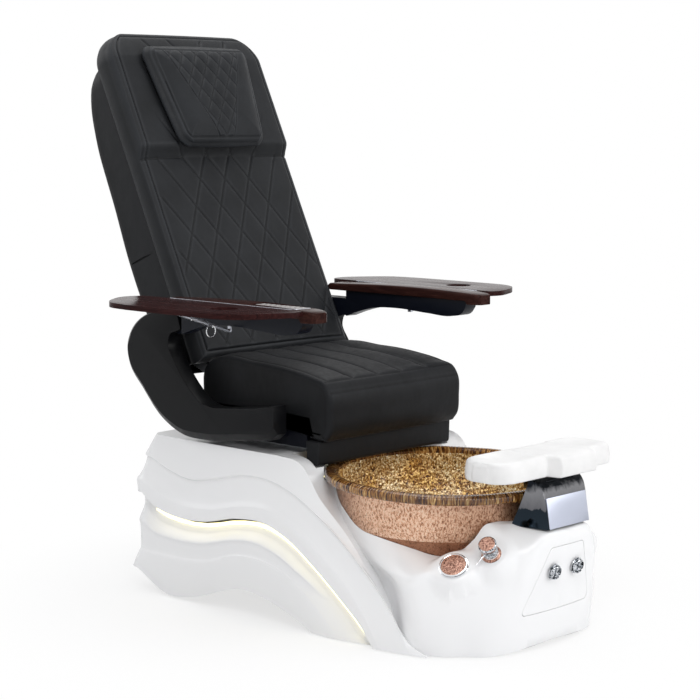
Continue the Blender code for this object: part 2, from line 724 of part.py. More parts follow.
def build_floor_frame(root):
    """Welded ladder of square tube under the laminate, on levelling feet."""
    half = FLOOR_RAIL_X
    tube = FLOOR_TUBE
    low, high = FLOOR_TUBE_Z, FLOOR_TUBE_Z + tube
    frame = part("floor_frame", box(-half - tube / 2, -half + tube / 2, FLOOR_FRONT_Y,
                                    FLOOR_REAR_Y, low, high), "steel", root)
    other = cutter("tool_frame_rail", box(half - tube / 2, half + tube / 2, FLOOR_FRONT_Y,
                                          FLOOR_REAR_Y, low, high), root)
    boolean(frame, other, "UNION")
    wall = BASE_HALF_WIDTH - BASE_WALL - 0.005
    for index, (y, reach) in enumerate(((FLOOR_CROSS_Y[0], wall), (FLOOR_CROSS_Y[1], half),
                                        (FLOOR_CROSS_Y[2], wall))):
        cross = cutter(f"tool_frame_cross_{index}",
                       box(-reach, reach, y - tube / 2, y + tube / 2, low + GAP, high - GAP), root)
        boolean(frame, cross, "UNION")
    number = 0
    for y in FOOT_Y:
        for side in (-1, 1):
            number += 1
            profile = [(0.0, 0.0), (FOOT_R, 0.0), (FOOT_R, 0.006), (0.010, 0.012),
                       (0.006, 0.014), (0.006, low - GAP), (0.0, low - GAP)]
            part(f"levelling_foot_{number}", turned(profile, (side * half, y, 0.0), sides=12),
                 "rubber", root)


def build_led_strips(root):
    """A flexible light strip in the shadow of the upper wave, one on each side."""
    ledge = wave_rows(0.0)[3]
    run = [p for p in ledge if p[2] > 0.030 and p[1] < BASE_REAR_Y - BASE_CORNER_R - 0.03]
    for name, side in (("led_strip_right", -1), ("led_strip_left", 1)):
        rings = []
        for x, y, z in run:
            near, far = x + GAP, x + LED_DEPTH
            top, low = z - 0.005, z - 0.014
            rings.append([(side * near, y, low), (side * far, y, low + 0.002),
                          (side * far, y, top - 0.002), (side * near, y, top)])
        part(name, rings_mesh(rings), "warm_led", root)


def build_spout(root):
    """Chrome waterfall bridge over the front of the bath, with its satin front plate."""
    top = FOOTREST_BOTTOM_Z - SPOUT_DROP
    front_low, front_high = (-0.7765, 0.2995), (-0.764, 0.371)
    side = [front_low, front_high, (-0.752, 0.394), (-0.726, top), (-0.668, top),
            (-0.648, top - 0.014), (-0.644, 0.352), (-0.652, 0.3375)]
    rings = []
    for sign in (-1, 1):
        ring = []
        for y, z in side:
            run = (y - front_low[0]) / (side[-2][0] - front_low[0])
            ring.append((sign * band(SPOUT_HALF_FRONT, SPOUT_HALF_REAR, run), y, z))
        rings.append(ring)
    spout = part("waterfall_spout", rings_mesh(rings), "chrome", root)
    bath = cutter("tool_spout_bath", bowl_tool(CLEAR, cap_up=False), root)
    boolean(spout, bath)
    above = [[(x, y - GAP, z + 2 * GAP) for x, y, z in row] for row in nose_rows(0.0)]
    deck = cutter("tool_spout_deck", mirrored_solid(above), root)
    boolean(spout, deck)
    well = cutter("tool_spout_well", sleeve_hole(), root)
    boolean(spout, well)

    plate_half = SPOUT_HALF_FRONT - 0.001
    out = Vector((front_low[1] - front_high[1], front_high[0] - front_low[0])).normalized()
    rings = []
    for lift in (GAP, PLATE_THICK):
        shift = out * lift
        ring = []
        for x, (y, z) in ((-plate_half, front_low), (plate_half, front_low),
                          (plate_half, front_high), (-plate_half, front_high)):
            ring.append((x, y + shift.x, z + shift.y))
        rings.append(ring)
    plate = part("spout_front_plate", rings_mesh(rings), "satin_metal", root)
    plate_deck = cutter("tool_plate_deck", mirrored_solid(above), root)
    boolean(plate, plate_deck)


def build_shower(root):
    """Mixer and pull-out spray on the near side of the deck, and the two valve knobs."""
    mixer = Vector((*MIXER_AT, MIXER_RISE))
    axis = Vector(MIXER_AXIS).normalized()
    ring = [(0.0, GAP), (0.024, GAP), (0.024, 0.003), (0.020, 0.007), (0.015, 0.009),
            (0.0, 0.009)]
    part("mixer_base", turned(ring, mixer, axis, 24), "rose_copper", root)
    knob_pivot = pivot("mixer_turn_axis", mixer, root)
    cup = [(0.0, 0.0095), (0.016, 0.0095), (0.0165, 0.014), (0.0135, 0.030), (0.0175, 0.040),
           (0.0175, 0.045), (0.015, 0.048), (0.0, 0.048)]
    part("mixer_knob", turned(cup, mixer, axis, 24), "chrome", knob_pivot)
    side = axis.cross(Vector((0.62, -0.78, 0.0))).normalized()
    root_point = mixer + axis * 0.024 + side * 0.0150
    lever_pivot = pivot("mixer_lever_axis", root_point, knob_pivot)
    tip = root_point + side * 0.034 - axis * 0.004
    part("mixer_lever", rod(0.0018, root_point + side * 0.0006, tip, 8), "chrome", lever_pivot)

    spray = Vector((*SPRAY_AT, SPRAY_RISE))
    out = Vector(SPRAY_AXIS).normalized()
    socket = [(0.012, GAP), (SPRAY_R + 0.002, GAP), (SPRAY_R + 0.001, 0.0025),
              (0.012, 0.0025), (0.012, GAP)]
    part("spray_socket", turned(socket, spray, out, 28), "chrome", root)
    spray_pivot = pivot("spray_pull_axis", spray, root)
    head = [(0.0, -0.024), (0.0085, -0.024), (0.0095, 0.0030), (SPRAY_R - 0.001, 0.0035),
            (SPRAY_R, 0.0060), (SPRAY_R - 0.004, 0.0085), (0.0, 0.0100)]
    part("spray_head", turned(head, spray, out, 28), "rose_copper", spray_pivot)

    out = Vector(FRONT_KNOB_AXIS).normalized()
    rim = FRONT_KNOB_R + 0.002
    for name, sign in (("right", -1), ("left", 1)):
        base = Vector((sign * FRONT_KNOB_X, FRONT_KNOB_Y, FRONT_KNOB_Z))
        bezel = [(0.0, -0.020), (VALVE_STEM_R, -0.020), (VALVE_STEM_R, 0.0022), (rim, 0.0022),
                 (rim, 0.0040), (0.0, 0.0040)]
        part(f"valve_bezel_{name}", turned(bezel, base, out, 20), "chrome", root)
        axis_empty = pivot(f"valve_knob_{name}_axis", base, root)
        grip = [(0.0, 0.0044), (FRONT_KNOB_R, 0.0044), (FRONT_KNOB_R - 0.001, 0.0110),
                (FRONT_KNOB_R - 0.004, 0.0135), (0.0, 0.0135)]
        knob = part(f"valve_knob_{name}", turned(grip, base, out, 20), "chrome", axis_empty)
        face = base + out * 0.0190
        slot = cutter(f"tool_knob_{name}", box(face.x - 0.002, face.x + 0.002, face.y - 0.010,
                                               face.y + 0.0068, face.z - 0.03, face.z + 0.03),
                      axis_empty)
        boolean(knob, slot)


def build_footrest(root):
    """Two-lobed pad on a post that lifts out of a sleeve in the spout."""
    top = FOOTREST_BOTTOM_Z - SPOUT_DROP
    bore, outer = FOOTREST_POST_R + 0.0006, FOOTREST_POST_R + SLEEVE_WALL
    sleeve = [(bore, SLEEVE_LOW_Z), (outer, SLEEVE_LOW_Z), (outer, top + 0.001),
              (bore, top + 0.001), (bore, SLEEVE_LOW_Z)]
    centre = (0.0, FOOTREST_POST_Y, 0.0)
    part("footrest_sleeve", turned(sleeve, centre, sides=20), "satin_metal", root)
    lift = pivot("footrest_lift_axis", (0.0, FOOTREST_POST_Y, FOOTREST_BOTTOM_Z), root)
    part("footrest_post", rod(FOOTREST_POST_R, (0, FOOTREST_POST_Y, SLEEVE_LOW_Z + 0.002),
                              (0, FOOTREST_POST_Y, FOOTREST_BOTTOM_Z - GAP), 20), "chrome", lift)

    rings = []
    stations = 25
    for k in range(stations):
        along = -1.0 + 2.0 * k / (stations - 1)
        x = FOOTREST_HALF_WIDTH * (1.5 * along - 0.5 * along ** 3)
        u = abs(x) / FOOTREST_HALF_WIDTH
        end = sqrt(max(0.0, 1.0 - max(0.0, (u - 0.80) / 0.20) ** 2))
        waist = exp(-(x / 0.020) ** 2)
        front = band(FOOTREST_REAR_Y - 0.086, FOOTREST_FRONT_Y, 0.30 + 0.70 * end)
        front += 0.020 * u + 0.010 * waist
        back = band(FOOTREST_REAR_Y - 0.086, FOOTREST_REAR_Y, 0.30 + 0.70 * end)
        back -= 0.010 * waist
        height = FOOTREST_THICK * (0.86 + 0.14 * end)
        dish = 0.009 * sin(pi * min(1.0, u * 1.15)) - 0.006 * waist
        low, high = FOOTREST_BOTTOM_Z, FOOTREST_BOTTOM_Z + height
        rings.append([(x, front + 0.010, low), (x, front + 0.002, low + 0.006),
                      (x, front, high - 0.016), (x, front + 0.010, high - 0.004),
                      (x, front + 0.030, high - dish * 0.7), (x, (front + back) / 2, high - dish),
                      (x, back - 0.030, high - dish * 0.7), (x, back - 0.010, high - 0.004),
                      (x, back, high - 0.016), (x, back - 0.002, low + 0.006),
                      (x, back - 0.010, low)])
    part("footrest", rings_mesh(rings), "white_pad", lift)


# ---------------------------------------------------------------- seat carriage
def cushion_rings(profile, stations, dips=()):
    """Rings of a stuffed form: the section is drawn in at each end and dips at its seams.

    stations holds (x, inset).  profile is a closed loop of (y, z) points.  dips holds the x of
    each sewn channel; the top of the section sinks there.
    """
    loop = np.array(profile)
    ahead = np.roll(loop, -1, axis=0) - np.roll(loop, 1, axis=0)
    normal = np.stack([-ahead[:, 1], ahead[:, 0]], axis=1)
    normal /= np.linalg.norm(normal, axis=1)[:, None]
    middle = loop.mean(axis=0)
    if np.sum((middle - loop) * normal) < 0:
        normal = -normal
    top = loop[:, 1].max()
    rings = []
    for x, inset in stations:
        moved = loop + normal * inset
        sink = sum(exp(-((x - seam) / 0.010) ** 2) for seam in dips)
        weight = np.clip((moved[:, 1] - (top - 0.055)) / 0.030, 0.0, 1.0)
        moved[:, 1] -= SEAM_DEPTH * sink * weight
        rings.append([(x, y, z) for y, z in moved])
    return rings


def build_seat(carriage):
    pan_low = BASE_TOP_Z + RAIL_HEIGHT + CLEAR
    half = SEAT_PAN_HALF_WIDTH
    pan = part("seat_pan", box(-half, half, SEAT_PAN_FRONT_Y, SEAT_PAN_REAR_Y, pan_low,
                               SEAT_BOTTOM_Z - GAP), "black_plastic", carriage)
    reach = FRAME_INNER_X - GAP
    for index, y in enumerate(CROSS_TUBE_Y):
        tube = cutter(f"tool_cross_tube_{index}",
                      box(-reach, reach, y - 0.020, y + 0.020, 0.462, 0.492), carriage)
        boolean(pan, tube, "UNION")
    for side in (-1, 1):
        lug = [(RECLINE_Y - 0.022, SEAT_BOTTOM_Z - 0.010), (RECLINE_Y + 0.024, SEAT_BOTTOM_Z - 0.010)]
        lug += arc(RECLINE_Y, RECLINE_Z, HINGE_LUG_R, 0, 180, 7)
        plate = cutter(f"tool_recline_lug_{side}",
                       extrude_x(lug, side * HINGE_LUG_X, side * (HINGE_LUG_X + HINGE_LUG_THICK)),
                       carriage)
        boolean(pan, plate, "UNION")
    bore = cutter("tool_recline_bore", rod(MOTOR_SHAFT_R + GAP, (-0.3, RECLINE_Y, RECLINE_Z),
                                           (0.3, RECLINE_Y, RECLINE_Z), 16), carriage)
    boolean(pan, bore)

    reach = HINGE_LUG_X + HINGE_LUG_THICK
    motor = [(0.0, -reach), (MOTOR_SHAFT_R, -reach), (MOTOR_SHAFT_R, -MOTOR_HALF),
             (MOTOR_R, -MOTOR_HALF), (MOTOR_R, MOTOR_HALF), (MOTOR_SHAFT_R, MOTOR_HALF),
             (MOTOR_SHAFT_R, reach), (0.0, reach)]
    part("recline_motor", turned(motor, (0, RECLINE_Y, RECLINE_Z), (1, 0, 0), 16), "steel",
         carriage)

    nose = SEAT_FRONT_Y
    section = smooth_path([(SEAT_REAR_Y - 0.004, SEAT_BOTTOM_Z + 0.006),
                           (SEAT_REAR_Y, 0.57), (SEAT_REAR_Y - 0.002, SEAT_TOP_Z - 0.026),
                           (SEAT_REAR_Y - 0.024, SEAT_TOP_Z - 0.003), (0.040, SEAT_TOP_Z),
                           (-0.080, SEAT_TOP_Z - 0.007), (nose + 0.060, SEAT_NOSE_Z + 0.014),
                           (nose + 0.018, SEAT_NOSE_Z + 0.001), (nose + 0.001, SEAT_NOSE_Z - 0.024),
                           (nose - 0.002, 0.530), (nose + 0.004, SEAT_LIP_Z + 0.018),
                           (nose + 0.018, SEAT_LIP_Z)], 30)
    profile = [tuple(p) for p in section]
    profile += [(nose + 0.050, SEAT_LIP_Z), (SEAT_PAN_FRONT_Y - 0.010, SEAT_LIP_Z + 0.003),
                (SEAT_PAN_FRONT_Y - 0.004, SEAT_BOTTOM_Z), (0.02, SEAT_BOTTOM_Z),
                (SEAT_REAR_Y - 0.012, SEAT_BOTTOM_Z)]
    edge = SEAT_HALF_WIDTH
    stations = [(edge - 0.001, 0.030), (edge, 0.016), (edge - 0.004, 0.006), (edge - 0.014, 0.001)]
    inner = []
    for seam in SEAT_CHANNELS:
        inner += [seam - 0.016, seam, seam + 0.016]
    half_run = sorted({round(x, 4) for x in inner if x > 0} | {0.0, SEAT_CHANNELS[-1] + 0.045})
    run = [(x, 0.0) for x in half_run]
    right = stations + run[::-1]
    full = [(-x, inset) for x, inset in right] + [(x, inset) for x, inset in right[::-1] if x > 0]
    full[0], full[-1] = (-(edge - 0.001), 0.030), (edge - 0.001, 0.030)
    dips = [sign * seam for seam in SEAT_CHANNELS for sign in (-1, 1)]
    part("seat_cushion", rings_mesh(cushion_rings(profile, full, dips)), "black_leather", carriage)

    half = SEAT_HALF_WIDTH
    front = SEAT_PAN_FRONT_Y - 0.046
    low, high = SKIRT_BOTTOM_Z, SEAT_LIP_Z - 0.002
    outline = [(front, high), (front + 0.002, low + 0.006), (front + 0.008, low),
               (SEAT_PAN_FRONT_Y - GAP, low), (SEAT_PAN_FRONT_Y - GAP, high)]
    part("seat_skirt", extrude_x(outline, -half, half), "black_leather", carriage, bevel=0.003)


def build_rails(root, carriage):
    """Floor channels on the plinth and the runners that travel in them."""
    for name, side in (("right", -1), ("left", 1)):
        centre = side * RAIL_X
        wide, wall = 0.018, 0.003
        low, high = BASE_TOP_Z + GAP, BASE_TOP_Z + RAIL_HEIGHT
        outline = [(centre - wide, low), (centre + wide, low), (centre + wide, high),
                   (centre + wide - wall, high), (centre + wide - wall, low + wall),
                   (centre - wide + wall, low + wall), (centre - wide + wall, high),
                   (centre - wide, high)]
        rings = [[(x, RAIL_FRONT_Y, z) for x, z in outline], [(x, RAIL_REAR_Y, z) for x, z in outline]]
        part(f"slide_rail_{name}", rings_mesh(rings), "steel", root)
        run = wide - wall - CLEAR
        part(f"slide_runner_{name}",
             box(centre - run, centre + run, RAIL_FRONT_Y + SEAT_SLIDE + 0.005, RAIL_REAR_Y - 0.005,
                 low + wall + CLEAR, BASE_TOP_Z + RAIL_HEIGHT + CLEAR - GAP), "satin_metal", carriage)


def frame_outline(chamfer=0.0):
    """Side view of a C-shaped side frame, from the front of the lower leg round the back.

    The chamfer draws in the outer rim and leaves the inner opening as it is.
    """
    inner = smooth_path([(-0.050, 0.537), (0.054, 0.526), (0.112, 0.5225), (0.150, 0.531),
                         (0.198, 0.565), (0.255, 0.634), (0.276, 0.672), (0.268, 0.698),
                         (0.240, 0.709)], 15)
    outer = smooth_path([(0.330, FRAME_TOP_Z), (0.385, 0.738), (0.438, 0.697), (0.457, 0.650),
                         (0.448, 0.606), (0.392, 0.541), (0.318, 0.472), (0.238, 0.437),
                         (0.143, 0.4325), (0.0, 0.4470)], 16)
    ahead = np.gradient(outer, axis=0)
    ahead /= np.linalg.norm(ahead, axis=1)[:, None]
    fade = np.clip(np.arange(len(outer)) / 3.0, 0.0, 1.0)[:, None]
    outer = outer + chamfer * fade * np.stack([ahead[:, 1], -ahead[:, 0]], axis=1)
    front, low = FRAME_FRONT_Y, 0.463
    return ([(front, 0.549)] + [tuple(p) for p in inner] + [(ARM_JOINT_Y, 0.7150)]
            + [(ARM_JOINT_Y + 0.012, FRAME_TOP_Z)] + [tuple(p) for p in outer]
            + [(front, low + chamfer)])


def arm_outline():
    """Side view of the arm's beam, ahead of the side frame."""
    top = ARM_TOP_Z
    return [(-0.216, top), (-0.214, 0.756), (-0.200, 0.738), (-0.165, 0.7295), (-0.080, 0.7315),
            (0.030, 0.7370), (0.110, 0.7330), (0.175, 0.7180), (ARM_BEAM_REAR_Y, 0.7020),
            (ARM_BEAM_REAR_Y, top)]


def build_side(side, name, carriage):
    """One side frame with its lifting arm and drop-leaf tray.  side is -1 for the sitter's right."""
    inner, outer = FRAME_INNER_X, FRAME_INNER_X + FRAME_THICK
    sections = ((inner, 0.0), (outer - FRAME_CHAMFER * 0.8, 0.0), (outer, FRAME_CHAMFER))
    rings = [[(side * x, y, z) for y, z in frame_outline(chamfer)] for x, chamfer in sections]
    frame = part(f"side_frame_{name}", rings_mesh(rings), "black_plastic", carriage)
    y, z = ARM_PIVOT_Y, ARM_PIVOT_Z
    room = ARM_EYE_R + CLEAR
    recess = [(0.18, z - room), (y, z - room)] + arc(y, z, room, -60, 0, 4) + [(y + room, 0.80),
                                                                              (0.18, 0.80)]
    pocket = cutter(f"tool_arm_pocket_{name}",
                    extrude_x(recess, side * (inner - 0.05), side * ARM_SPLIT_X), carriage)
    boolean(frame, pocket)
    hole = cutter(f"tool_pivot_hole_{name}",
                  rod(PIVOT_BOLT_R + GAP, (side * 0.25, y, z),
                      (side * (outer - FRAME_CHAMFER * 0.5 + GAP), y, z), 16), carriage)
    boolean(frame, hole)
    head = ARM_BEAM_INNER_X - GAP
    bolt = [(0.0, head - 0.004), (0.012, head - 0.004), (0.013, head), (PIVOT_BOLT_R, head),
            (PIVOT_BOLT_R, outer - FRAME_CHAMFER * 0.5), (0.0, outer - FRAME_CHAMFER * 0.5)]
    part(f"arm_pivot_bolt_{name}", turned(bolt, (0, y, z), (side, 0, 0), 16), "chrome", carriage)

    arm = pivot(f"arm_{name}_axis", (0.0, y, z), carriage)
    beam = part(f"arm_body_{name}",
                extrude_x(arm_outline(), side * ARM_BEAM_INNER_X, side * ARM_BEAM_OUTER_X),
                "black_plastic", arm)
    eye = [(ARM_BEAM_REAR_Y - 0.020, 0.708), (y - 0.030, z - ARM_EYE_R + 0.002)]
    eye += arc(y, z, ARM_EYE_R, -90, 90, 9) + [(ARM_BEAM_REAR_Y - 0.020, z + ARM_EYE_R)]
    lap = cutter(f"tool_arm_eye_{name}",
                 extrude_x(eye, side * ARM_BEAM_INNER_X, side * (ARM_SPLIT_X - CLEAR)), arm)
    boolean(beam, lap, "UNION")
    bore = cutter(f"tool_arm_bore_{name}",
                  rod(PIVOT_BOLT_R + GAP, (side * 0.25, y, z), (side * 0.36, y, z), 16), arm)
    boolean(beam, bore)

    build_cap(side, name, arm)
    build_tray(side, name, arm)


def build_cap(side, name, arm):
    """Polished wooden cap, arched a little along its length, with a rounded front."""
    rings = []
    stations = 15
    low = ARM_TOP_Z + GAP
    for k in range(stations):
        along = k / (stations - 1)
        y = band(CAP_FRONT_Y, CAP_REAR_Y, along)
        nose = sqrt(max(0.0, 1.0 - max(0.0, (0.10 - along) / 0.10) ** 2))
        centre = (CAP_INNER_X + CAP_OUTER_X) / 2
        half = (CAP_OUTER_X - CAP_INNER_X) / 2 * (0.55 + 0.45 * nose)
        arch = CAP_ARCH * sin(pi * min(1.0, along + 0.05)) - CAP_ARCH * 0.3
        high = low + CAP_THICK - 0.004 + arch - 0.004 * (1 - nose)
        e = 0.005
        section = [(centre - half + e, low), (centre + half - e, low), (centre + half, low + e),
                   (centre + half, high - e), (centre + half - e, high),
                   (centre - half + e, high), (centre - half, high - e), (centre - half, low + e)]
        rings.append([(side * x, y, z) for x, z in section])
    cap = part(f"arm_cap_{name}", rings_mesh(rings), "burgundy_wood", arm)
    if side < 0:
        seat = cutter("tool_keypad_seat",
                      box(-KEYPAD_OUTER_X - GAP, -KEYPAD_INNER_X + GAP, KEYPAD_FRONT_Y - GAP,
                          KEYPAD_REAR_Y + GAP, KEYPAD_Z - GAP, KEYPAD_Z + 0.05), arm)
        boolean(cap, seat)
        part("keypad", box(-KEYPAD_OUTER_X, -KEYPAD_INNER_X, KEYPAD_FRONT_Y, KEYPAD_REAR_Y,
                           KEYPAD_Z, KEYPAD_Z + 0.007), "satin_metal", arm, bevel=0.002)


def tray_outline():
    """Plan of a tray: straight along its hinge, swept out and rounded at both ends."""
    inner = TRAY_HINGE_X + 0.001
    wide = inner + TRAY_WIDTH
    rear = smooth_path([(inner, 0.300), (inner + 0.014, 0.343), (inner + 0.055, 0.356),
                        (inner + 0.118, 0.326), (wide - 0.016, 0.262), (wide - 0.002, 0.190)], 11)
    front = smooth_path([(wide, -0.085), (wide - 0.006, -0.140), (wide - 0.036, -0.192),
                         (inner + 0.085, -0.236), (inner + 0.032, -0.250), (inner, -0.240)], 10)
    return [tuple(p) for p in rear] + [tuple(p) for p in front]


def build_tray(side, name, arm):
    """Tray on a hinge pin beside the cap, resting on a stamped stay that bears on the arm."""
    high, low = TRAY_TOP_Z, TRAY_TOP_Z - TRAY_THICK
    hinge_x, hinge_z = side * TRAY_HINGE_X, TRAY_HINGE_Z
    front, rear = TRAY_PIN_SPAN
    pin = part(f"tray_hinge_pin_{name}",
               rod(TRAY_PIN_R, (hinge_x, front, hinge_z), (hinge_x, rear, hinge_z), 10),
               "satin_metal", arm)
    for index, y in enumerate((front + 0.004, 0.0, rear - 0.004)):
        near = side * (CAP_OUTER_X + GAP)
        lug = cutter(f"tool_pin_lug_{name}_{index}",
                     box(min(near, hinge_x), max(near, hinge_x), y - 0.004, y + 0.004,
                         hinge_z - 0.0018, hinge_z + 0.0014), arm)
        boolean(pin, lug, "UNION")

    leaf = pivot(f"tray_{name}_axis", (hinge_x, 0.0, hinge_z), arm)
    outline = [(side * x, y) for x, y in tray_outline()]
    tray = part(f"tray_{name}", extrude_z(outline, low, high), "burgundy_wood", leaf,
                bevel=0.0035, segments=2)
    groove = cutter(f"tool_hinge_groove_{name}",
                    rod(TRAY_PIN_R + CLEAR, (hinge_x, -0.5, hinge_z), (hinge_x, 0.5, hinge_z), 12),
                    leaf)
    boolean(tray, groove)
    cup = cutter(f"tool_cup_{name}", rod(CUP_HOLE_R, (side * CUP_X, CUP_Y, low - 0.02),
                                         (side * CUP_X, CUP_Y, high + 0.02), 28), leaf)
    boolean(tray, cup)

    head = Vector((STAY_ROOT_X, low - GAP))
    foot = Vector((STAY_FOOT_X, STAY_FOOT_Z))
    run = (foot - head).normalized()
    thick = 0.0030
    strip = [head, Vector((head.x - 0.045, head.y)), Vector((head.x - 0.045, head.y - thick)),
             foot + Vector((0.006, thick)), foot + Vector((0.003, thick * 2)),
             foot + Vector((0.003, 0.016)), foot + Vector((0.0, 0.016)), foot,
             foot + Vector((0.006, 0.0)), Vector((head.x - 0.008, head.y - thick * 1.5)),
             Vector((head.x, head.y - thick))]
    rings = [[(side * p.x, STAY_Y + edge, p.y) for p in strip]
             for edge in (-STAY_WIDTH / 2, STAY_WIDTH / 2)]
    part(f"tray_stay_{name}", rings_mesh(rings), "satin_metal", leaf)
    if side < 0:
        along = (head.x - STAY_RIVET_X) / (head.x - foot.x)
        build_pull_ring(head + run * ((head - foot).length * along), leaf)


def build_pull_ring(at, leaf):
    """Wire ring hung on a rivet through the stay, on the sitter's right only."""
    y = STAY_Y - STAY_WIDTH / 2 - PULL_RING_WIRE - 0.0010
    rivet = Vector((-at.x, y, at.y - 0.002))
    swing = pivot("pull_ring_axis", rivet, leaf)
    middle = rivet + Vector((-0.62, 0.0, -0.78)) * PULL_RING_R
    shape = bmesh.new()
    turns, sides = 20, 6
    rows = []
    for k in range(turns):
        around = 2 * pi * k / turns
        out = Vector((cos(around), 0.0, sin(around)))
        row = []
        for j in range(sides):
            turn = 2 * pi * j / sides
            spot = middle + out * (PULL_RING_R + PULL_RING_WIRE * cos(turn))
            row.append(shape.verts.new(spot + Vector((0.0, PULL_RING_WIRE * sin(turn), 0.0))))
        rows.append(row)
    for k in range(turns):
        here, ahead = rows[k], rows[(k + 1) % turns]
        for j in range(sides):
            n = (j + 1) % sides
            shape.faces.new((here[j], here[n], ahead[n], ahead[j]))
    bmesh.ops.recalc_face_normals(shape, faces=shape.faces)
    part("tray_pull_ring", shape, "chrome", swing)


# ---------------------------------------------------------------- backrest
def back_point(x, u, v):
    """A point of the backrest in its pivot's frame: U up the back, V out of its front."""
    return (x, -v, u)


def back_half_width(u, top, half, radius):
    """Half width of a panel with round upper corners."""
    rise = max(0.0, u - (top - radius))
    return half - radius + sqrt(max(0.0, radius ** 2 - rise ** 2))


def quilt(x, u):
    """Height of the diamond quilting, zero along the stitched diagonals."""
    a = x / DIAMOND_HALF_WIDTH + u / DIAMOND_HALF_HEIGHT
    b = x / DIAMOND_HALF_WIDTH - u / DIAMOND_HALF_HEIGHT
    return QUILT_PUFF * sqrt(abs(sin(pi * a / 2) * sin(pi * b / 2)))


def padded_panel(rows, half_width, front, back_v, edge_v, draw_in):
    """A stuffed panel: a gridded front, drawn-in sides and a flat back.

    rows holds the U values, half_width(u) and front(x, u) give the outline and the surface.
    """
    columns = PANEL_COLUMNS
    shape = bmesh.new()
    grid = []
    for u in rows:
        half = half_width(u)
        line = []
        for c in range(columns + 1):
            x = half * (-1 + 2 * c / columns)
            edge = c in (0, columns) or u in (rows[0], rows[-1])
            line.append(shape.verts.new(back_point(x, u, edge_v if edge else front(x, u))))
        grid.append(line)
    for r in range(len(rows) - 1):
        for c in range(columns):
            a, b = grid[r][c], grid[r][c + 1]
            d, e = grid[r + 1][c + 1], grid[r + 1][c]
            if (r + c) % 2:
                shape.faces.new((a, b, e))
                shape.faces.new((b, d, e))
            else:
                shape.faces.new((a, b, d))
                shape.faces.new((a, d, e))
    last = len(rows) - 1
    loop = [(0, c) for c in range(columns + 1)]
    loop += [(r, columns) for r in range(1, last + 1)]
    loop += [(last, c) for c in range(columns - 1, -1, -1)]
    loop += [(r, 0) for r in range(last - 1, 0, -1)]
    border = [grid[r][c] for r, c in loop]
    middle_u = (rows[0] + rows[-1]) / 2
    previous = border
    for pull, v in ((-draw_in * 0.5, band(edge_v, back_v, 0.30)),
                    (-draw_in * 0.2, band(edge_v, back_v, 0.75)), (draw_in, back_v)):
        ring = []
        for vert in border:
            x, u = vert.co.x, vert.co.z
            size = hypot(x, u - middle_u)
            keep = 1 - pull / size
            ring.append(shape.verts.new(back_point(x * keep, middle_u + (u - middle_u) * keep, v)))
        for k in range(len(border)):
            n = (k + 1) % len(border)
            shape.faces.new((previous[k], previous[n], ring[n], ring[k]))
        previous = ring
    shape.faces.new(previous)
    bmesh.ops.recalc_face_normals(shape, faces=shape.faces)
    return shape


def head_swell(u):
    """The padding is thicker beside the head, from a cross seam up to the top."""
    rise = min(1.0, max(0.0, (u - HEAD_SEAM_U) / 0.035))
    fall = min(1.0, max(0.0, (BACK_TOP_U - u) / 0.080))
    return HEAD_SWELL * (3 * rise ** 2 - 2 * rise ** 3) * sqrt(fall)


def build_back_cushion(back):
    rows = list(np.linspace(BACK_BOTTOM_U, BACK_TOP_U - BACK_CORNER_R, BACK_ROWS))
    rows += [BACK_TOP_U - BACK_CORNER_R * k for k in (0.66, 0.38, 0.16, 0.02)]

    def half_width(u):
        return back_half_width(u, BACK_TOP_U, BACK_HALF_WIDTH, BACK_CORNER_R)

    def front(x, u):
        half = half_width(u)
        edge = min(half - abs(x), u - BACK_BOTTOM_U, BACK_TOP_U - u)
        crown = BACK_CROWN * (1 - exp(-edge / 0.018))
        inside = min(1.0, max(0.0, (BACK_HALF_WIDTH - 0.030 - abs(x)) / 0.030))
        return CUSHION_SEAM_V + crown + quilt(x, u) * inside + head_swell(u)

    pad = padded_panel(rows, half_width, front, CUSHION_BACK_V, CUSHION_SEAM_V, 0.004)
    part("back_cushion", pad, "black_leather", back)


def build_pillow(back):
    rows = [PILLOW_BOTTOM_U + (PILLOW_TOP_U - PILLOW_BOTTOM_U) * k / PILLOW_ROWS
            for k in range(PILLOW_ROWS + 1)]
    rows[0] += 0.002
    base_v = CUSHION_SEAM_V + BACK_CROWN + QUILT_PUFF + HEAD_SWELL + CLEAR

    def half_width(u):
        along = (u - PILLOW_BOTTOM_U) / (PILLOW_TOP_U - PILLOW_BOTTOM_U)
        wide = band(PILLOW_HALF_BOTTOM, PILLOW_HALF_TOP, along)
        low = max(0.0, PILLOW_CORNER_R - (u - PILLOW_BOTTOM_U))
        high = max(0.0, PILLOW_CORNER_R - (PILLOW_TOP_U - u))
        short = PILLOW_CORNER_R - sqrt(max(0.0, PILLOW_CORNER_R ** 2 - max(low, high) ** 2))
        return wide - short

    def front(x, u):
        edge = min(half_width(u) - abs(x), u - PILLOW_BOTTOM_U, PILLOW_TOP_U - u)
        swell = 1 - exp(-max(0.0, edge) / 0.028)
        return base_v + PILLOW_THICK * (0.45 + 0.55 * swell)

    hinge = pivot("pillow_axis", back_point(0.0, PILLOW_TOP_U, base_v), back)
    pad = padded_panel(rows, half_width, front, base_v, base_v + PILLOW_THICK * 0.45, 0.012)
    part("head_pillow", pad, "black_leather", hinge)


def shell_depth(u):
    """How far the rear shell stands behind the cushion, along the back."""
    table = SHELL_PROFILE
    return float(np.interp(u, [p[0] for p in table], [p[1] for p in table]))


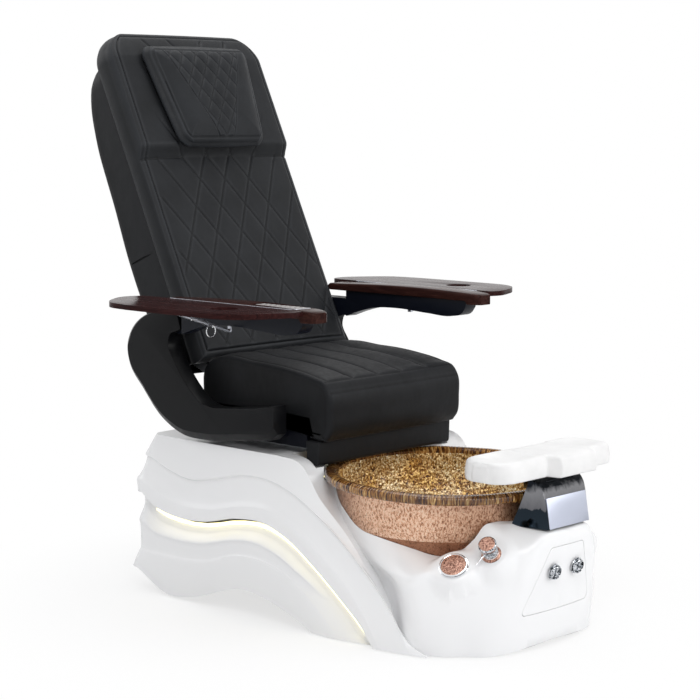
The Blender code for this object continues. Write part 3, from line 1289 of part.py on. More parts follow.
def shell_rings(inset, first_u, last_u, front_v):
    rings = []
    count = 15
    for k in range(count):
        u = band(first_u, last_u, k / (count - 1))
        half = back_half_width(u, SHELL_TOP_U, BACK_HALF_WIDTH - SHELL_SIDE_STEP,
                               BACK_CORNER_R * 0.8) - inset
        depth = -(shell_depth(u) - inset)
        front = front_v
        r = min(SHELL_EDGE_R, 0.6 * (CUSHION_BACK_V - depth))
        section = [(-half, front), (half, front), (half, depth + r), (half - r * 0.3, depth + r * 0.3),
                   (half - r, depth), (0.0, depth - 0.004), (-half + r, depth),
                   (-half + r * 0.3, depth + r * 0.3), (-half, depth + r)]
        rings.append([back_point(x, u, v) for x, v in section])
    return rings


def build_back_shell(back):
    shell = part("back_shell", rings_mesh(shell_rings(0.0, SHELL_BOTTOM_U, SHELL_TOP_U,
                                                      CUSHION_BACK_V - GAP)),
                 "black_leather", back)
    hollow = cutter("tool_shell_hollow",
                    rings_mesh(shell_rings(SHELL_WALL, SHELL_BOTTOM_U - 0.05, SHELL_TOP_U - 0.014,
                                           CUSHION_BACK_V + 0.02)), back)
    boolean(shell, hollow)


def build_massage(back):
    """Guide frame inside the shell, with the roller carriage that climbs it."""
    reach = BACK_HALF_WIDTH - SHELL_SIDE_STEP - SHELL_WALL - 0.012
    guide = part("back_frame", rod(GUIDE_R, back_point(-GUIDE_X, GUIDE_LOW_U, GUIDE_V),
                                   back_point(-GUIDE_X, GUIDE_HIGH_U, GUIDE_V), 10), "steel", back)
    tools = [rod(GUIDE_R, back_point(GUIDE_X, GUIDE_LOW_U, GUIDE_V),
                 back_point(GUIDE_X, GUIDE_HIGH_U, GUIDE_V), 10)]
    for u in (GUIDE_LOW_U, GUIDE_HIGH_U):
        ring_low = [back_point(x, u - 0.012, v) for x, v in
                    ((-reach, GUIDE_V - 0.012), (reach, GUIDE_V - 0.012), (reach, GUIDE_V + 0.012),
                     (-reach, GUIDE_V + 0.012))]
        ring_high = [(x, y, z + 0.024) for x, y, z in ring_low]
        tools.append(rings_mesh([ring_low, ring_high]))
    for side in (-1, 1):
        ear = [(0.0, HINGE_EAR_R), (-0.016, HINGE_EAR_R * 0.6), (-HINGE_EAR_R, 0.0),
               (-0.016, -HINGE_EAR_R * 0.6), (0.0, -HINGE_EAR_R), (GUIDE_LOW_U, GUIDE_V - 0.010),
               (GUIDE_LOW_U + 0.010, GUIDE_V + 0.008)]
        low_x = HINGE_LUG_X - HINGE_EAR_THICK - 0.001
        rings = [[back_point(side * x, u, v) for u, v in ear] for x in (low_x, HINGE_LUG_X - 0.001)]
        tools.append(rings_mesh(rings))
    for index, mesh in enumerate(tools):
        boolean(guide, cutter(f"tool_guide_{index}", mesh, back), "UNION")
    bore = cutter("tool_ear_bore", rod(MOTOR_SHAFT_R + GAP, (-0.3, 0, 0), (0.3, 0, 0), 16), back)
    boolean(guide, bore)

    lift = pivot("massage_lift_axis", back_point(0.0, CARRIAGE_U, GUIDE_V), back)
    half = GUIDE_X - GUIDE_R - CLEAR
    low = [back_point(x, CARRIAGE_U - 0.045, v) for x, v in
           ((-half, GUIDE_V - 0.014), (half, GUIDE_V - 0.014), (half, GUIDE_V + 0.010),
            (-half, GUIDE_V + 0.010))]
    high = [(x, y, z + 0.090) for x, y, z in low]
    carriage = part("massage_carriage", rings_mesh([low, high]), "grey_plastic", lift)
    axle_v = CUSHION_BACK_V - WHEEL_R - CLEAR
    for index, x in enumerate((-0.085, -0.025, 0.025, 0.085)):
        lug = [back_point(x + dx, CARRIAGE_U + du, v) for dx, du, v in
               ((-0.004, -0.008, GUIDE_V), (0.004, -0.008, GUIDE_V), (0.004, 0.008, GUIDE_V),
                (-0.004, 0.008, GUIDE_V))]
        tip = [(px, -(axle_v + 0.008), pz) for px, _, pz in lug]
        boolean(carriage, cutter(f"tool_wheel_lug_{index}", rings_mesh([lug, tip]), lift), "UNION")
    axle = cutter("tool_axle", rod(AXLE_R, back_point(-0.088, CARRIAGE_U, axle_v),
                                   back_point(0.088, CARRIAGE_U, axle_v), 12), lift)
    boolean(carriage, axle, "UNION")
    for name, x in (("right", -0.055), ("left", 0.055)):
        centre = back_point(x, CARRIAGE_U, axle_v)
        spin = pivot(f"kneading_wheel_{name}_axis", centre, lift)
        tread = [(AXLE_R + 0.0005, -0.016), (WHEEL_R - 0.004, -0.016), (WHEEL_R, -0.010),
                 (WHEEL_R, 0.010), (WHEEL_R - 0.004, 0.016), (AXLE_R + 0.0005, 0.016),
                 (AXLE_R + 0.0005, -0.016)]
        part(f"kneading_wheel_{name}", turned(tread, centre, (1, 0, 0), 16), "grey_plastic", spin)


def main():
    clear_scene()
    root = pivot("chair_datum", (0.0, ORIGIN_SHIFT_Y, 0.0))
    build_base(root)
    build_bowl(root)
    build_bath_fittings(root)
    build_floor_frame(root)
    build_led_strips(root)
    build_spout(root)
    build_shower(root)
    build_footrest(root)
    carriage = pivot("seat_slide_axis", (0.0, 0.0, 0.0), root)
    build_rails(root, carriage)
    build_seat(carriage)
    for side, name in ((-1, "right"), (1, "left")):
        build_side(side, name, carriage)
    back = pivot("recline_axis", (0.0, RECLINE_Y, RECLINE_Z), carriage,
                 tilt=-radians(BACK_TILT_DEG))
    build_back_shell(back)
    build_back_cushion(back)
    build_massage(back)
    build_pillow(back)


main()
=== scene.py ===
"""Looks of the pedicure spa chair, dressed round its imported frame.

Points are written from the chair's datum, as the frame's own solids are: the sitter faces -Y,
+X is the sitter's left, and one shift along Y brings the datum to the frame's origin.  Points of
the backrest are (x, u, v): u runs up along the back and v out of its front.
"""
from math import atan2, cos, exp, hypot, pi, radians, sin, sqrt

import bmesh
import bpy
import numpy as np
from mathutils import Matrix, Vector, noise


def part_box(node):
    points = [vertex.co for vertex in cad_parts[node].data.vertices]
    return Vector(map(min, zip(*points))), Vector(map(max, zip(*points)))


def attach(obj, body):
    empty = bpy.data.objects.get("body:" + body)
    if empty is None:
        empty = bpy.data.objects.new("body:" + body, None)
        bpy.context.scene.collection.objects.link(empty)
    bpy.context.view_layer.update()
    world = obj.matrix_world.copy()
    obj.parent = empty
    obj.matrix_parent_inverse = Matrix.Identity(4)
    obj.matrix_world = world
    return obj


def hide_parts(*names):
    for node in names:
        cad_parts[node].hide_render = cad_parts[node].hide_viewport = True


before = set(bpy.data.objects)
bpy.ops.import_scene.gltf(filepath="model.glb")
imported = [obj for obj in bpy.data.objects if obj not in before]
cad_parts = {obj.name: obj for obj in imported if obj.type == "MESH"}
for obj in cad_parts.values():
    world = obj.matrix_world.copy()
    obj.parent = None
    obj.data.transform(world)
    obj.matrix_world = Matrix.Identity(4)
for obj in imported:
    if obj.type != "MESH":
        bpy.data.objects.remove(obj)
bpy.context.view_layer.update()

SHIFT_Y = 0.0507
PLACE = Matrix.Translation((0.0, SHIFT_Y, 0.0))
RECLINE = (0.0, 0.215, 0.585)
BACK_TILT = radians(25.5)
BACK = PLACE @ Matrix.Translation(RECLINE) @ Matrix.Rotation(-BACK_TILT, 4, "X")


# ---------------------------------------------------------------- materials
def new_node(tree, kind, values=None, **settings):
    """Add a shader node, with its settings and the constants of its inputs."""
    made = tree.nodes.new(kind)
    for key, value in settings.items():
        setattr(made, key, value)
    for key, value in (values or {}).items():
        made.inputs[key].default_value = value
    return made


class Finish:
    """A Principled material and the few node calls that its pattern needs."""

    def __init__(self, name, colour, roughness, metallic=0.0, **constants):
        self.material = bpy.data.materials.new(name)
        self.material.use_nodes = True
        self.tree = self.material.node_tree
        self.shader = self.tree.nodes["Principled BSDF"]
        self.set("Base Color", (*colour, 1.0))
        self.set("Roughness", roughness)
        self.set("Metallic", metallic)
        for key, value in constants.items():
            self.set(key.replace("_", " "), value)
        self.place = self.node("ShaderNodeTexCoord").outputs["Object"]
        self.material.diffuse_color = (*colour, 1.0)

    def set(self, socket, value):
        self.shader.inputs[socket].default_value = value

    def node(self, kind, values=None, **settings):
        return new_node(self.tree, kind, values, **settings)

    def wire(self, source, target):
        self.tree.links.new(source, target)

    def stretched(self, scale, source=None):
        """Coordinates scaled by axis, for grain that runs one way."""
        made = self.node("ShaderNodeMapping", {"Scale": scale})
        self.wire(source or self.place, made.inputs["Vector"])
        return made.outputs["Vector"]

    def noise(self, scale, detail=3.0, rough=0.55, source=None, distort=0.0):
        made = self.node("ShaderNodeTexNoise", {"Scale": scale, "Detail": detail,
                                                "Roughness": rough, "Distortion": distort})
        self.wire(source or self.place, made.inputs["Vector"])
        return made.outputs["Fac"]

    def cells(self, scale, smooth, source=None):
        made = self.node("ShaderNodeTexVoronoi", feature="SMOOTH_F1")
        made.inputs["Scale"].default_value = scale
        made.inputs["Smoothness"].default_value = smooth
        self.wire(source or self.place, made.inputs["Vector"])
        return made.outputs["Distance"]

    def height(self, axis="Z"):
        """One coordinate of the shaded point, in metres."""
        axes = self.node("ShaderNodeSeparateXYZ")
        self.wire(self.place, axes.inputs[0])
        return axes.outputs[axis]

    def math(self, operation, a, b):
        made = self.node("ShaderNodeMath", operation=operation)
        for socket, value in zip(made.inputs, (a, b)):
            if isinstance(value, (int, float)):
                socket.default_value = value
            else:
                self.wire(value, socket)
        return made.outputs[0]

    def spread(self, value, low, high, to_low, to_high):
        """Map low..high to to_low..to_high."""
        made = self.node("ShaderNodeMapRange", {"From Min": low, "From Max": high,
                                                "To Min": to_low, "To Max": to_high})
        self.wire(value, made.inputs["Value"])
        return made.outputs["Result"]

    def ramp(self, value, stops):
        """Colour by value; stops holds (position, colour) pairs."""
        made = self.node("ShaderNodeValToRGB")
        points = made.color_ramp.elements
        while len(points) < len(stops):
            points.new(0.5)
        for point, (at, colour) in zip(points, stops):
            point.position = at
            point.color = (*colour, 1.0)
        self.wire(value, made.inputs["Fac"])
        return made.outputs["Color"]

    def mix(self, factor, a, b):
        made = self.node("ShaderNodeMix", data_type="RGBA")
        for socket, value in ((made.inputs[0], factor), (made.inputs[6], a), (made.inputs[7], b)):
            if isinstance(value, (int, float)):
                socket.default_value = value
            elif isinstance(value, tuple):
                socket.default_value = (*value, 1.0)
            else:
                self.wire(value, socket)
        return made.outputs[2]

    def colour(self, source):
        self.wire(source, self.shader.inputs["Base Color"])

    def rough(self, value, to_low, to_high, low=0.3, high=0.7):
        """Drive the roughness by a pattern."""
        self.wire(self.spread(value, low, high, to_low, to_high),
                  self.shader.inputs["Roughness"])

    def bump(self, height, strength, distance, under=None):
        made = self.node("ShaderNodeBump", {"Strength": strength, "Distance": distance})
        self.wire(height, made.inputs["Height"])
        if under is not None:
            self.wire(under, made.inputs["Normal"])
        self.wire(made.outputs["Normal"], self.shader.inputs["Normal"])
        return made.outputs["Normal"]


def leather(name, dark, light, roughness=0.46):
    """Grained upholstery: pebbles a few millimetres across, soft creases, a painted highlight on
    edges and painted shade in seams.
    """
    f = Finish(name, dark, roughness, Sheen_Weight=0.015, Sheen_Roughness=0.4,
               Specular_IOR_Level=0.14)
    broad = f.noise(9.0, 4.0)
    pores = f.cells(520.0, 0.35)
    creases = f.noise(70.0, 5.0, 0.6, source=f.stretched((1.0, 1.0, 0.45)))
    painted_edge_light = f.node("ShaderNodeNewGeometry").outputs["Pointiness"]
    tone = f.mix(f.spread(broad, 0.30, 0.72, 0.0, 1.0), dark, light)
    # Painted highlight: convex edges and welts are lightened by their pointiness.
    tone = f.mix(f.spread(painted_edge_light, 0.503, 0.55, 0.0, 0.70), tone, tuple(2.4 * c for c in light))
    # Painted shade: seams, creases and hollows are darkened by their pointiness.
    tone = f.mix(f.spread(painted_edge_light, 0.44, 0.495, 0.75, 0.0), tone, tuple(0.30 * c for c in dark))
    f.colour(tone)
    f.rough(creases, roughness - 0.05, roughness + 0.09)
    fine = f.bump(pores, 0.22, 0.00045)
    f.bump(creases, 0.10, 0.0012, under=fine)
    return f.material


def gelcoat(name):
    """Polished moulded resin, its tone and gloss varying faintly."""
    f = Finish(name, (0.88, 0.88, 0.885), 0.24, Specular_IOR_Level=0.45)
    f.colour(f.mix(f.noise(3.0, 2.0), (0.860, 0.860, 0.870), (0.885, 0.885, 0.885)))
    f.rough(f.noise(6.0, 2.0), 0.21, 0.25, 0.35, 0.65)
    return f.material


def lacquer(name, dark, light, across):
    """Dark stained wood under a thick clear lacquer; the grain runs along Y."""
    f = Finish(name, dark, 0.26, Coat_Weight=0.06, Coat_Roughness=0.05, Coat_IOR=1.15,
               Specular_IOR_Level=0.04)
    along = f.stretched((across, across * 0.055, across))
    grain = f.noise(1.0, 6.0, 0.62, source=along, distort=1.6)
    pores = f.noise(5.0, 4.0, 0.7, source=along)
    tone = f.ramp(grain, [(0.28, dark), (0.50, tuple((a + b) / 2 for a, b in zip(dark, light))),
                          (0.74, light)])
    tone = f.mix(f.spread(pores, 0.52, 0.72, 0.0, 0.7), tone, tuple(0.45 * c for c in dark))
    f.colour(tone)
    f.rough(grain, 0.18, 0.30)
    f.bump(f.math("ADD", grain, pores), 0.03, 0.0004)
    return f.material


def moulded(name, colour, roughness, grain=700.0, strength=0.12, coat=0.0):
    """Textured injection-moulded plastic."""
    f = Finish(name, colour, roughness, Coat_Weight=coat, Coat_Roughness=0.2,
               Specular_IOR_Level=0.5 if max(colour) > 0.1 else 0.13)
    f.colour(f.mix(f.noise(14.0, 3.0), tuple(0.88 * c for c in colour),
                   tuple(min(1.0, 1.12 * c) for c in colour)))
    f.rough(f.noise(40.0, 3.0), roughness - 0.05, roughness + 0.06, 0.35, 0.65)
    f.bump(f.noise(grain, 2.0), strength, 0.0004)
    return f.material


def plated(name, colour, roughness, lines=None):
    """Bare or plated metal; lines gives a brushed direction as a scale."""
    f = Finish(name, colour, roughness, 1.0)
    smear = f.noise(18.0, 4.0)
    f.colour(f.mix(smear, tuple(0.94 * c for c in colour), colour))
    if lines:
        brushed = f.noise(1.0, 3.0, 0.6, source=f.stretched(lines))
        f.rough(brushed, roughness - 0.06, roughness + 0.10)
        f.bump(brushed, 0.05, 0.0003)
    else:
        f.rough(smear, roughness, roughness + 0.05)
    return f.material


def painted_reflection_chrome(name, scale):
    """Deep chrome with painted reflections: slate and silver patches as a studio would mirror in
    it.
    """
    f = Finish(name, (0.05, 0.06, 0.07), 0.07, 1.0)
    patch = f.noise(scale, 2.0, 0.5, distort=1.4)
    # Painted reflection: the ramp lays dark slate and bright silver patches into the colour.
    f.colour(f.ramp(patch, [(0.36, (0.016, 0.021, 0.026)), (0.44, (0.050, 0.060, 0.070)),
                            (0.455, (0.55, 0.57, 0.60)), (0.54, (0.80, 0.82, 0.85)),
                            (0.60, (0.30, 0.32, 0.35)), (0.63, (0.030, 0.038, 0.045))]))
    f.rough(f.noise(18.0, 3.0), 0.06, 0.11)
    return f.material


def painted_band_chrome(name):
    """Deep chrome beside the bath, with painted reflections by height: slate low down, a ragged
    grey band, black on top.
    """
    f = Finish(name, (0.03, 0.04, 0.05), 0.08, 1.0)
    ragged = f.noise(1.0, 4.0, 0.6, source=f.stretched((48.0, 48.0, 16.0)), distort=0.5)
    height = f.math("ADD", f.height(), f.math("MULTIPLY", ragged, 0.045))
    # Painted reflection: this colour follows height, not the metal's own tone.
    f.colour(f.ramp(f.spread(height, 0.30, 0.45, 0.0, 1.0), [
        (0.0, (0.022, 0.031, 0.042)), (0.43, (0.018, 0.025, 0.033)), (0.445, (0.13, 0.13, 0.14)),
        (0.70, (0.22, 0.22, 0.23)), (0.80, (0.012, 0.014, 0.018))]))
    f.rough(f.noise(18.0, 3.0), 0.07, 0.12)
    return f.material


def hammered_gold():
    """The bath's inside: foil under resin, in gold, straw and umber, with beaten dimples."""
    f = Finish("bath_gold_foil", (0.60, 0.40, 0.15), 0.24, 0.30, Coat_Weight=0.35,
               Coat_Roughness=0.08)
    dents = f.cells(150.0, 0.5, f.stretched((1.0, 1.0, 0.8)))
    folds = f.noise(170.0, 4.0, 0.65, distort=0.8)
    patch = f.noise(9.0, 3.0, 0.6, distort=0.5)
    # The palest stop is a painted glint on the foil; the other stops are its own gold, straw and
    # umber.
    tone = f.ramp(folds, [(0.38, (0.07, 0.022, 0.004)), (0.46, (0.42, 0.22, 0.050)),
                          (0.52, (0.78, 0.58, 0.24)), (0.585, (1.0, 0.93, 0.72))])
    warm = f.ramp(folds, [(0.38, (0.030, 0.008, 0.002)), (0.48, (0.32, 0.125, 0.018)),
                          (0.58, (0.88, 0.58, 0.19))])
    f.colour(f.mix(f.spread(patch, 0.42, 0.62, 0.0, 1.0), warm, tone))
    f.rough(folds, 0.34, 0.16)
    under = f.bump(dents, 0.75, 0.0030)
    f.bump(folds, 0.60, 0.0016, under=under)
    return f.material


def ribbed_amber():
    """The rolled rim: honey and umber streaks across it, glossy and a little translucent."""
    f = Finish("bath_amber_rim", (0.30, 0.15, 0.04), 0.18, 0.10, Coat_Weight=0.45,
               Coat_Roughness=0.05, IOR=1.4)
    flat = f.node("ShaderNodeUVMap", uv_map="run").outputs["UV"]
    streaks = f.noise(1.0, 4.0, 0.6, source=f.stretched((210.0, 22.0, 1.0), source=flat),
                      distort=0.7)
    patch = f.noise(7.0, 3.0)
    tone = f.ramp(streaks, [(0.36, (0.020, 0.006, 0.002)), (0.46, (0.13, 0.044, 0.009)),
                            (0.55, (0.36, 0.165, 0.036)), (0.66, (0.62, 0.42, 0.17))])
    f.colour(f.mix(f.spread(patch, 0.44, 0.62, 0.0, 0.85), tone, (0.055, 0.020, 0.009)))
    f.bump(streaks, 0.45, 0.0020)
    return f.material


def crackled_copper(name, dark, light, scale, strength, ends=None):
    """Rose copper with fine upright crackle; ends is a darker copper towards both ends of the
    bath, painted shade.
    """
    f = Finish(name, dark, 0.30, 0.45)
    tall = f.stretched((1.0, 1.0, 0.55))
    crackle = f.noise(scale, 5.0, 0.7, source=tall, distort=0.6)
    dents = f.cells(scale * 0.7, 0.5, tall)
    tone = f.ramp(crackle, [(0.36, tuple(0.30 * c for c in dark)), (0.45, dark),
                            (0.54, light), (0.64, tuple(min(1.0, 1.25 * c) for c in light))])
    if ends:
        # Painted shade: the bath's two ends darken where its side turns away from the light.
        away = f.math("ABSOLUTE", f.math("ADD", f.height("Y"), 0.42), 0.0)
        tone = f.mix(f.spread(away, 0.06, 0.22, 0.0, 0.85), tone,
                     f.ramp(crackle, [(0.40, (0.10, 0.032, 0.012)), (0.60, ends)]))
    f.colour(tone)
    f.rough(crackle, 0.42, 0.22)
    under = f.bump(dents, strength, 0.0014)
    f.bump(crackle, strength, 0.0010, under=under)
    return f.material


def lit_diffuser():
    """Warm light strip behind a frosted cover."""
    f = Finish("warm_diffuser", (1.0, 0.86, 0.50), 0.4)
    f.set("Emission Color", (1.0, 0.90, 0.45, 1.0))
    f.set("Emission Strength", 2.4)
    f.rough(f.noise(200.0), 0.35, 0.5)
    return f.material


LEATHER = leather("black_hide", (0.0100, 0.0107, 0.0120), (0.0172, 0.0184, 0.0205))
PILLOW_HIDE = leather("slate_hide", (0.0108, 0.0117, 0.0134), (0.0180, 0.0196, 0.0222), 0.46)
SHELL_HIDE = leather("shell_hide", (0.0030, 0.0032, 0.0038), (0.0055, 0.0058, 0.0066), 0.52)
SEAT_HIDE = leather("seat_hide", (0.0046, 0.0049, 0.0057), (0.0098, 0.0104, 0.0120), 0.50)
THREAD = moulded("seam_thread", (0.035, 0.037, 0.040), 0.6, 2500.0, 0.3)
GELCOAT = gelcoat("white_gelcoat")
NAVY = moulded("navy_plastic", (0.0050, 0.0065, 0.0120), 0.34, 900.0, 0.10, coat=0.10)
PAN_NAVY = moulded("pan_navy", (0.0020, 0.0026, 0.0060), 0.62)
FRAME_PAINT = moulded("frame_satin_black", (0.0042, 0.0044, 0.0052), 0.38, 900.0, 0.08)
WOOD = lacquer("burgundy_lacquer", (0.010, 0.0035, 0.0040), (0.045, 0.014, 0.013), 95.0)
CAP_WOOD = lacquer("cap_lacquer", (0.014, 0.005, 0.005), (0.055, 0.021, 0.016), 95.0)
CHROME = plated("polished_chrome", (0.78, 0.79, 0.81), 0.05)
DARK_CHROME = painted_band_chrome("dark_chrome")
KNOB_CHROME = painted_reflection_chrome("knob_chrome", 110.0)
SATIN = plated("satin_steel", (0.56, 0.58, 0.64), 0.30, lines=(60.0, 60.0, 2200.0))
PLATE = plated("blue_satin_plate", (0.55, 0.58, 0.68), 0.38, lines=(40.0, 900.0, 2200.0))
STEEL = plated("mill_steel", (0.33, 0.34, 0.36), 0.42, lines=(900.0, 40.0, 900.0))
GREY = moulded("grey_plastic", (0.20, 0.21, 0.23), 0.50)
RUBBER = moulded("black_rubber", (0.018, 0.018, 0.018), 0.75, 1200.0, 0.25)
PAD_WHITE = moulded("white_pad_skin", (0.80, 0.795, 0.79), 0.40, 800.0, 0.05)
GOLD_FOIL = hammered_gold()
AMBER_RIM = ribbed_amber()
# ends paints shade on the bath's two ends; the middle stays paler.
BATH_COPPER = crackled_copper("bath_rose_copper", (0.56, 0.27, 0.145), (0.86, 0.58, 0.42),
                              230.0, 0.80, ends=(0.50, 0.25, 0.13))
# Darker copper on the outside's lower band: painted shade and a painted dark reflection of the gap
# along the deck.
COPPER_SHADE_BAND = crackled_copper("bath_copper_shade_band", (0.26, 0.105, 0.050), (0.36, 0.165, 0.090),
                              260.0, 0.15)
CONTROL_COPPER = crackled_copper("control_copper", (0.20, 0.075, 0.045), (0.62, 0.36, 0.27),
                                 330.0, 0.45)
GLOW = lit_diffuser()
KEY_GLASS = moulded("key_glass", (0.24, 0.23, 0.235), 0.30)
KEY_MARK = moulded("key_mark", (0.42, 0.40, 0.39), 0.35)
RED_DOT = moulded("red_enamel", (0.60, 0.02, 0.02), 0.25, coat=0.6)
BLUE_DOT = moulded("blue_enamel", (0.05, 0.25, 0.70), 0.25, coat=0.6)


# ---------------------------------------------------------------- making pieces
def bake(made):
    """Apply a piece's modifiers to its mesh."""
    depsgraph = bpy.context.evaluated_depsgraph_get()
    shape = bpy.data.meshes.new_from_object(made.evaluated_get(depsgraph))
    old = made.data
    made.modifiers.clear()
    made.data = shape
    shape.name = made.name
    bpy.data.meshes.remove(old)


def loose(name, mesh, finishes, place):
    """An object from a mesh under construction, not yet on any body."""
    data = bpy.data.meshes.new(name)
    mesh.to_mesh(data)
    mesh.free()
    data.transform(place)
    for finish in finishes:
        data.materials.append(finish)
    made = bpy.data.objects.new(name, data)
    bpy.context.collection.objects.link(made)
    return made


def cut(made, tool, operation="DIFFERENCE", place=PLACE):
    """Boolean a tool mesh into a piece and leave no tool behind."""
    knife = loose(f"{made.name}_tool", tool, [], place)
    step = made.modifiers.new("cut", "BOOLEAN")
    step.operation = operation
    step.solver = "EXACT"
    step.object = knife
    bpy.context.view_layer.update()
    bake(made)
    data = knife.data
    bpy.data.objects.remove(knife, do_unlink=True)
    bpy.data.meshes.remove(data)


def soften(made, width, segments, angle):
    """Round the edges that are sharper than an angle."""
    edge = made.modifiers.new("edge", "BEVEL")
    edge.width = width
    edge.segments = segments
    edge.limit_method = "ANGLE"
    edge.angle_limit = radians(angle)
    edge.harden_normals = False
    bake(made)


def finish_mesh(made, sharp):
    """Smooth shading that breaks at edges sharper than an angle."""
    made.data.shade_smooth()
    made.data.set_sharp_from_angle(angle=radians(sharp))


def merged(shapes):
    """Join several small meshes into one."""
    whole = bmesh.new()
    for shape in shapes:
        data = bpy.data.meshes.new("part")
        shape.to_mesh(data)
        shape.free()
        whole.from_mesh(data)
        bpy.data.meshes.remove(data)
    return whole


def piece(name, mesh, finish, body, stands_for=(), place=PLACE, cuts=(), edge=0.0, segments=3,
          edge_angle=35, sharp=38):
    """A finished piece that rides on a body.

    cuts holds tool meshes to take away, or pairs of a tool mesh and another operation.
    """
    finishes = finish if isinstance(finish, (list, tuple)) else [finish]
    made = loose(name, mesh, finishes, place)
    for tool in cuts:
        cut(made, *(tool if isinstance(tool, tuple) else (tool,)))
    if edge:
        soften(made, edge, segments, edge_angle)
    finish_mesh(made, sharp)
    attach(made, body)
    if stands_for:
        names = (stands_for,) if isinstance(stands_for, str) else stands_for
        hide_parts(*names)
    return made


def dress(finish, *nodes):
    """Give CAD nodes that keep their shape a better material."""
    for name in nodes:
        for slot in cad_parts[name].material_slots:
            slot.material = finish


# ---------------------------------------------------------------- shapes
def smooth_path(points, count):
    """count points on a smooth curve through the given ones, evenly spaced along it."""
    knots = np.array(points, float)
    steps = np.linalg.norm(np.diff(knots, axis=0), axis=1)
    at = np.concatenate([[0.0], np.cumsum(steps)])
    slopes = np.gradient(knots, at, axis=0)
    wanted = np.linspace(0.0, at[-1], count)
    path = []
    for value in wanted:
        k = min(int(np.searchsorted(at, value, side="right")) - 1, len(at) - 2)
        span = at[k + 1] - at[k]
        t = (value - at[k]) / span
        h00, h10 = (1 + 2 * t) * (1 - t) ** 2, t * (1 - t) ** 2
        h01, h11 = t * t * (3 - 2 * t), t * t * (t - 1)
        point = h00 * knots[k] + h01 * knots[k + 1]
        path.append(tuple(point + span * (h10 * slopes[k] + h11 * slopes[k + 1])))
    return path


def skin(rings, zones=None, uv=None):
    """A closed solid between rings.  zones gives each band's material, uv its map."""
    shape = bmesh.new()
    rows = [[shape.verts.new(tuple(p)) for p in ring] for ring in rings]
    count = len(rows[0])
    layer = shape.loops.layers.uv.new("run") if uv else None
    for r, (low, high) in enumerate(zip(rows, rows[1:])):
        for k in range(count):
            n = (k + 1) % count
            face = shape.faces.new((low[k], low[n], high[n], high[k]))
            if zones:
                face.material_index = zones[r]
            if uv:
                spots = (uv(r, k), uv(r, k + 1), uv(r + 1, k + 1), uv(r + 1, k))
                for loop, spot in zip(face.loops, spots):
                    loop[layer].uv = spot
    first = shape.faces.new(rows[0][::-1])
    final = shape.faces.new(rows[-1])
    if zones:
        first.material_index, final.material_index = zones[0], zones[-1]
    bmesh.ops.recalc_face_normals(shape, faces=shape.faces)
    return shape


def mirrored_solid(rows):
    """A closed solid from half rows that are mirrored across X = 0."""
    shape = bmesh.new()
    sides = [[[None] * len(rows[0]) for _ in rows] for _ in (0, 1)]
    for r, row in enumerate(rows):
        for c, (x, y, z) in enumerate(row):
            if abs(x) < 1e-6:
                sides[0][r][c] = sides[1][r][c] = shape.verts.new((0.0, y, z))
            else:
                sides[0][r][c] = shape.verts.new((-abs(x), y, z))
                sides[1][r][c] = shape.verts.new((abs(x), y, z))

    def face(*corners):
        """A face that leaves out the corners that meet on the middle plane."""
        unique = list(dict.fromkeys(corners))
        if len(unique) > 2:
            shape.faces.new(unique)

    columns = len(rows[0])
    for near in sides:
        for r in range(len(rows) - 1):
            for c in range(columns - 1):
                face(near[r][c], near[r][c + 1], near[r + 1][c + 1], near[r + 1][c])
    left, right = sides
    for r in (0, len(rows) - 1):
        for c in range(columns - 1):
            face(left[r][c], left[r][c + 1], right[r][c + 1], right[r][c])
    for c in (0, columns - 1):
        if left[0][c] is not right[0][c]:
            face(*[left[r][c] for r in range(len(rows))],
                 *[right[r][c] for r in reversed(range(len(rows)))])
    bmesh.ops.recalc_face_normals(shape, faces=shape.faces)
    bmesh.ops.triangulate(shape, faces=shape.faces, quad_method="FIXED")
    return shape


def extrude_x(outline, x0, x1):
    """A prism along X from (y, z) points."""
    low, high = sorted((x0, x1))
    return skin([[(low, y, z) for y, z in outline], [(high, y, z) for y, z in outline]])


def extrude_z(outline, z0, z1):
    """A prism along Z from (x, y) points."""
    return skin([[(x, y, z0) for x, y in outline], [(x, y, z1) for x, y in outline]])


def box(x0, x1, y0, y1, z0, z1):
    return extrude_z([(x0, y0), (x1, y0), (x1, y1), (x0, y1)], z0, z1)


def turned(profile, base, axis=(0, 0, 1), sides=64, zones=None):
    """A solid of revolution.  profile holds (radius, height) points along the axis."""
    turn = Vector(axis).normalized().to_track_quat("Z", "Y").to_matrix().to_4x4()
    place = Matrix.Translation(base) @ turn
    shape = bmesh.new()
    rows = []
    for radius, height in profile:
        if radius < 1e-7:
            rows.append([shape.verts.new(place @ Vector((0, 0, height)))])
            continue
        ring = []
        for k in range(sides):
            angle = 2 * pi * k / sides
            ring.append(shape.verts.new(place @ Vector((radius * cos(angle), radius * sin(angle),
                                                        height))))
        rows.append(ring)
    closed = profile[0] == profile[-1]
    if closed:
        for vert in rows[-1]:
            shape.verts.remove(vert)
        rows[-1] = rows[0]
    for r, (low, high) in enumerate(zip(rows, rows[1:])):
        for k in range(sides):
            n = (k + 1) % sides
            corners = [low[k % len(low)], low[n % len(low)], high[n % len(high)],
                       high[k % len(high)]]
            face = shape.faces.new(list(dict.fromkeys(corners)))
            if zones:
                face.material_index = zones[r]
    if not closed:
        for ring in (rows[0], rows[-1]):
            if len(ring) > 1:
                shape.faces.new(ring)
    bmesh.ops.recalc_face_normals(shape, faces=shape.faces)
    return shape


def rod(radius, start, end, sides=24):
    """A round bar between two points."""
    run = Vector(end) - Vector(start)
    return turned([(radius, 0.0), (radius, run.length)], start, run, sides)


def arc(cy, cz, radius, start, end, count):
    """Points on an arc, with angles in degrees."""
    angles = [radians(start + (end - start) * k / (count - 1)) for k in range(count)]
    return [(cy + radius * cos(a), cz + radius * sin(a)) for a in angles]


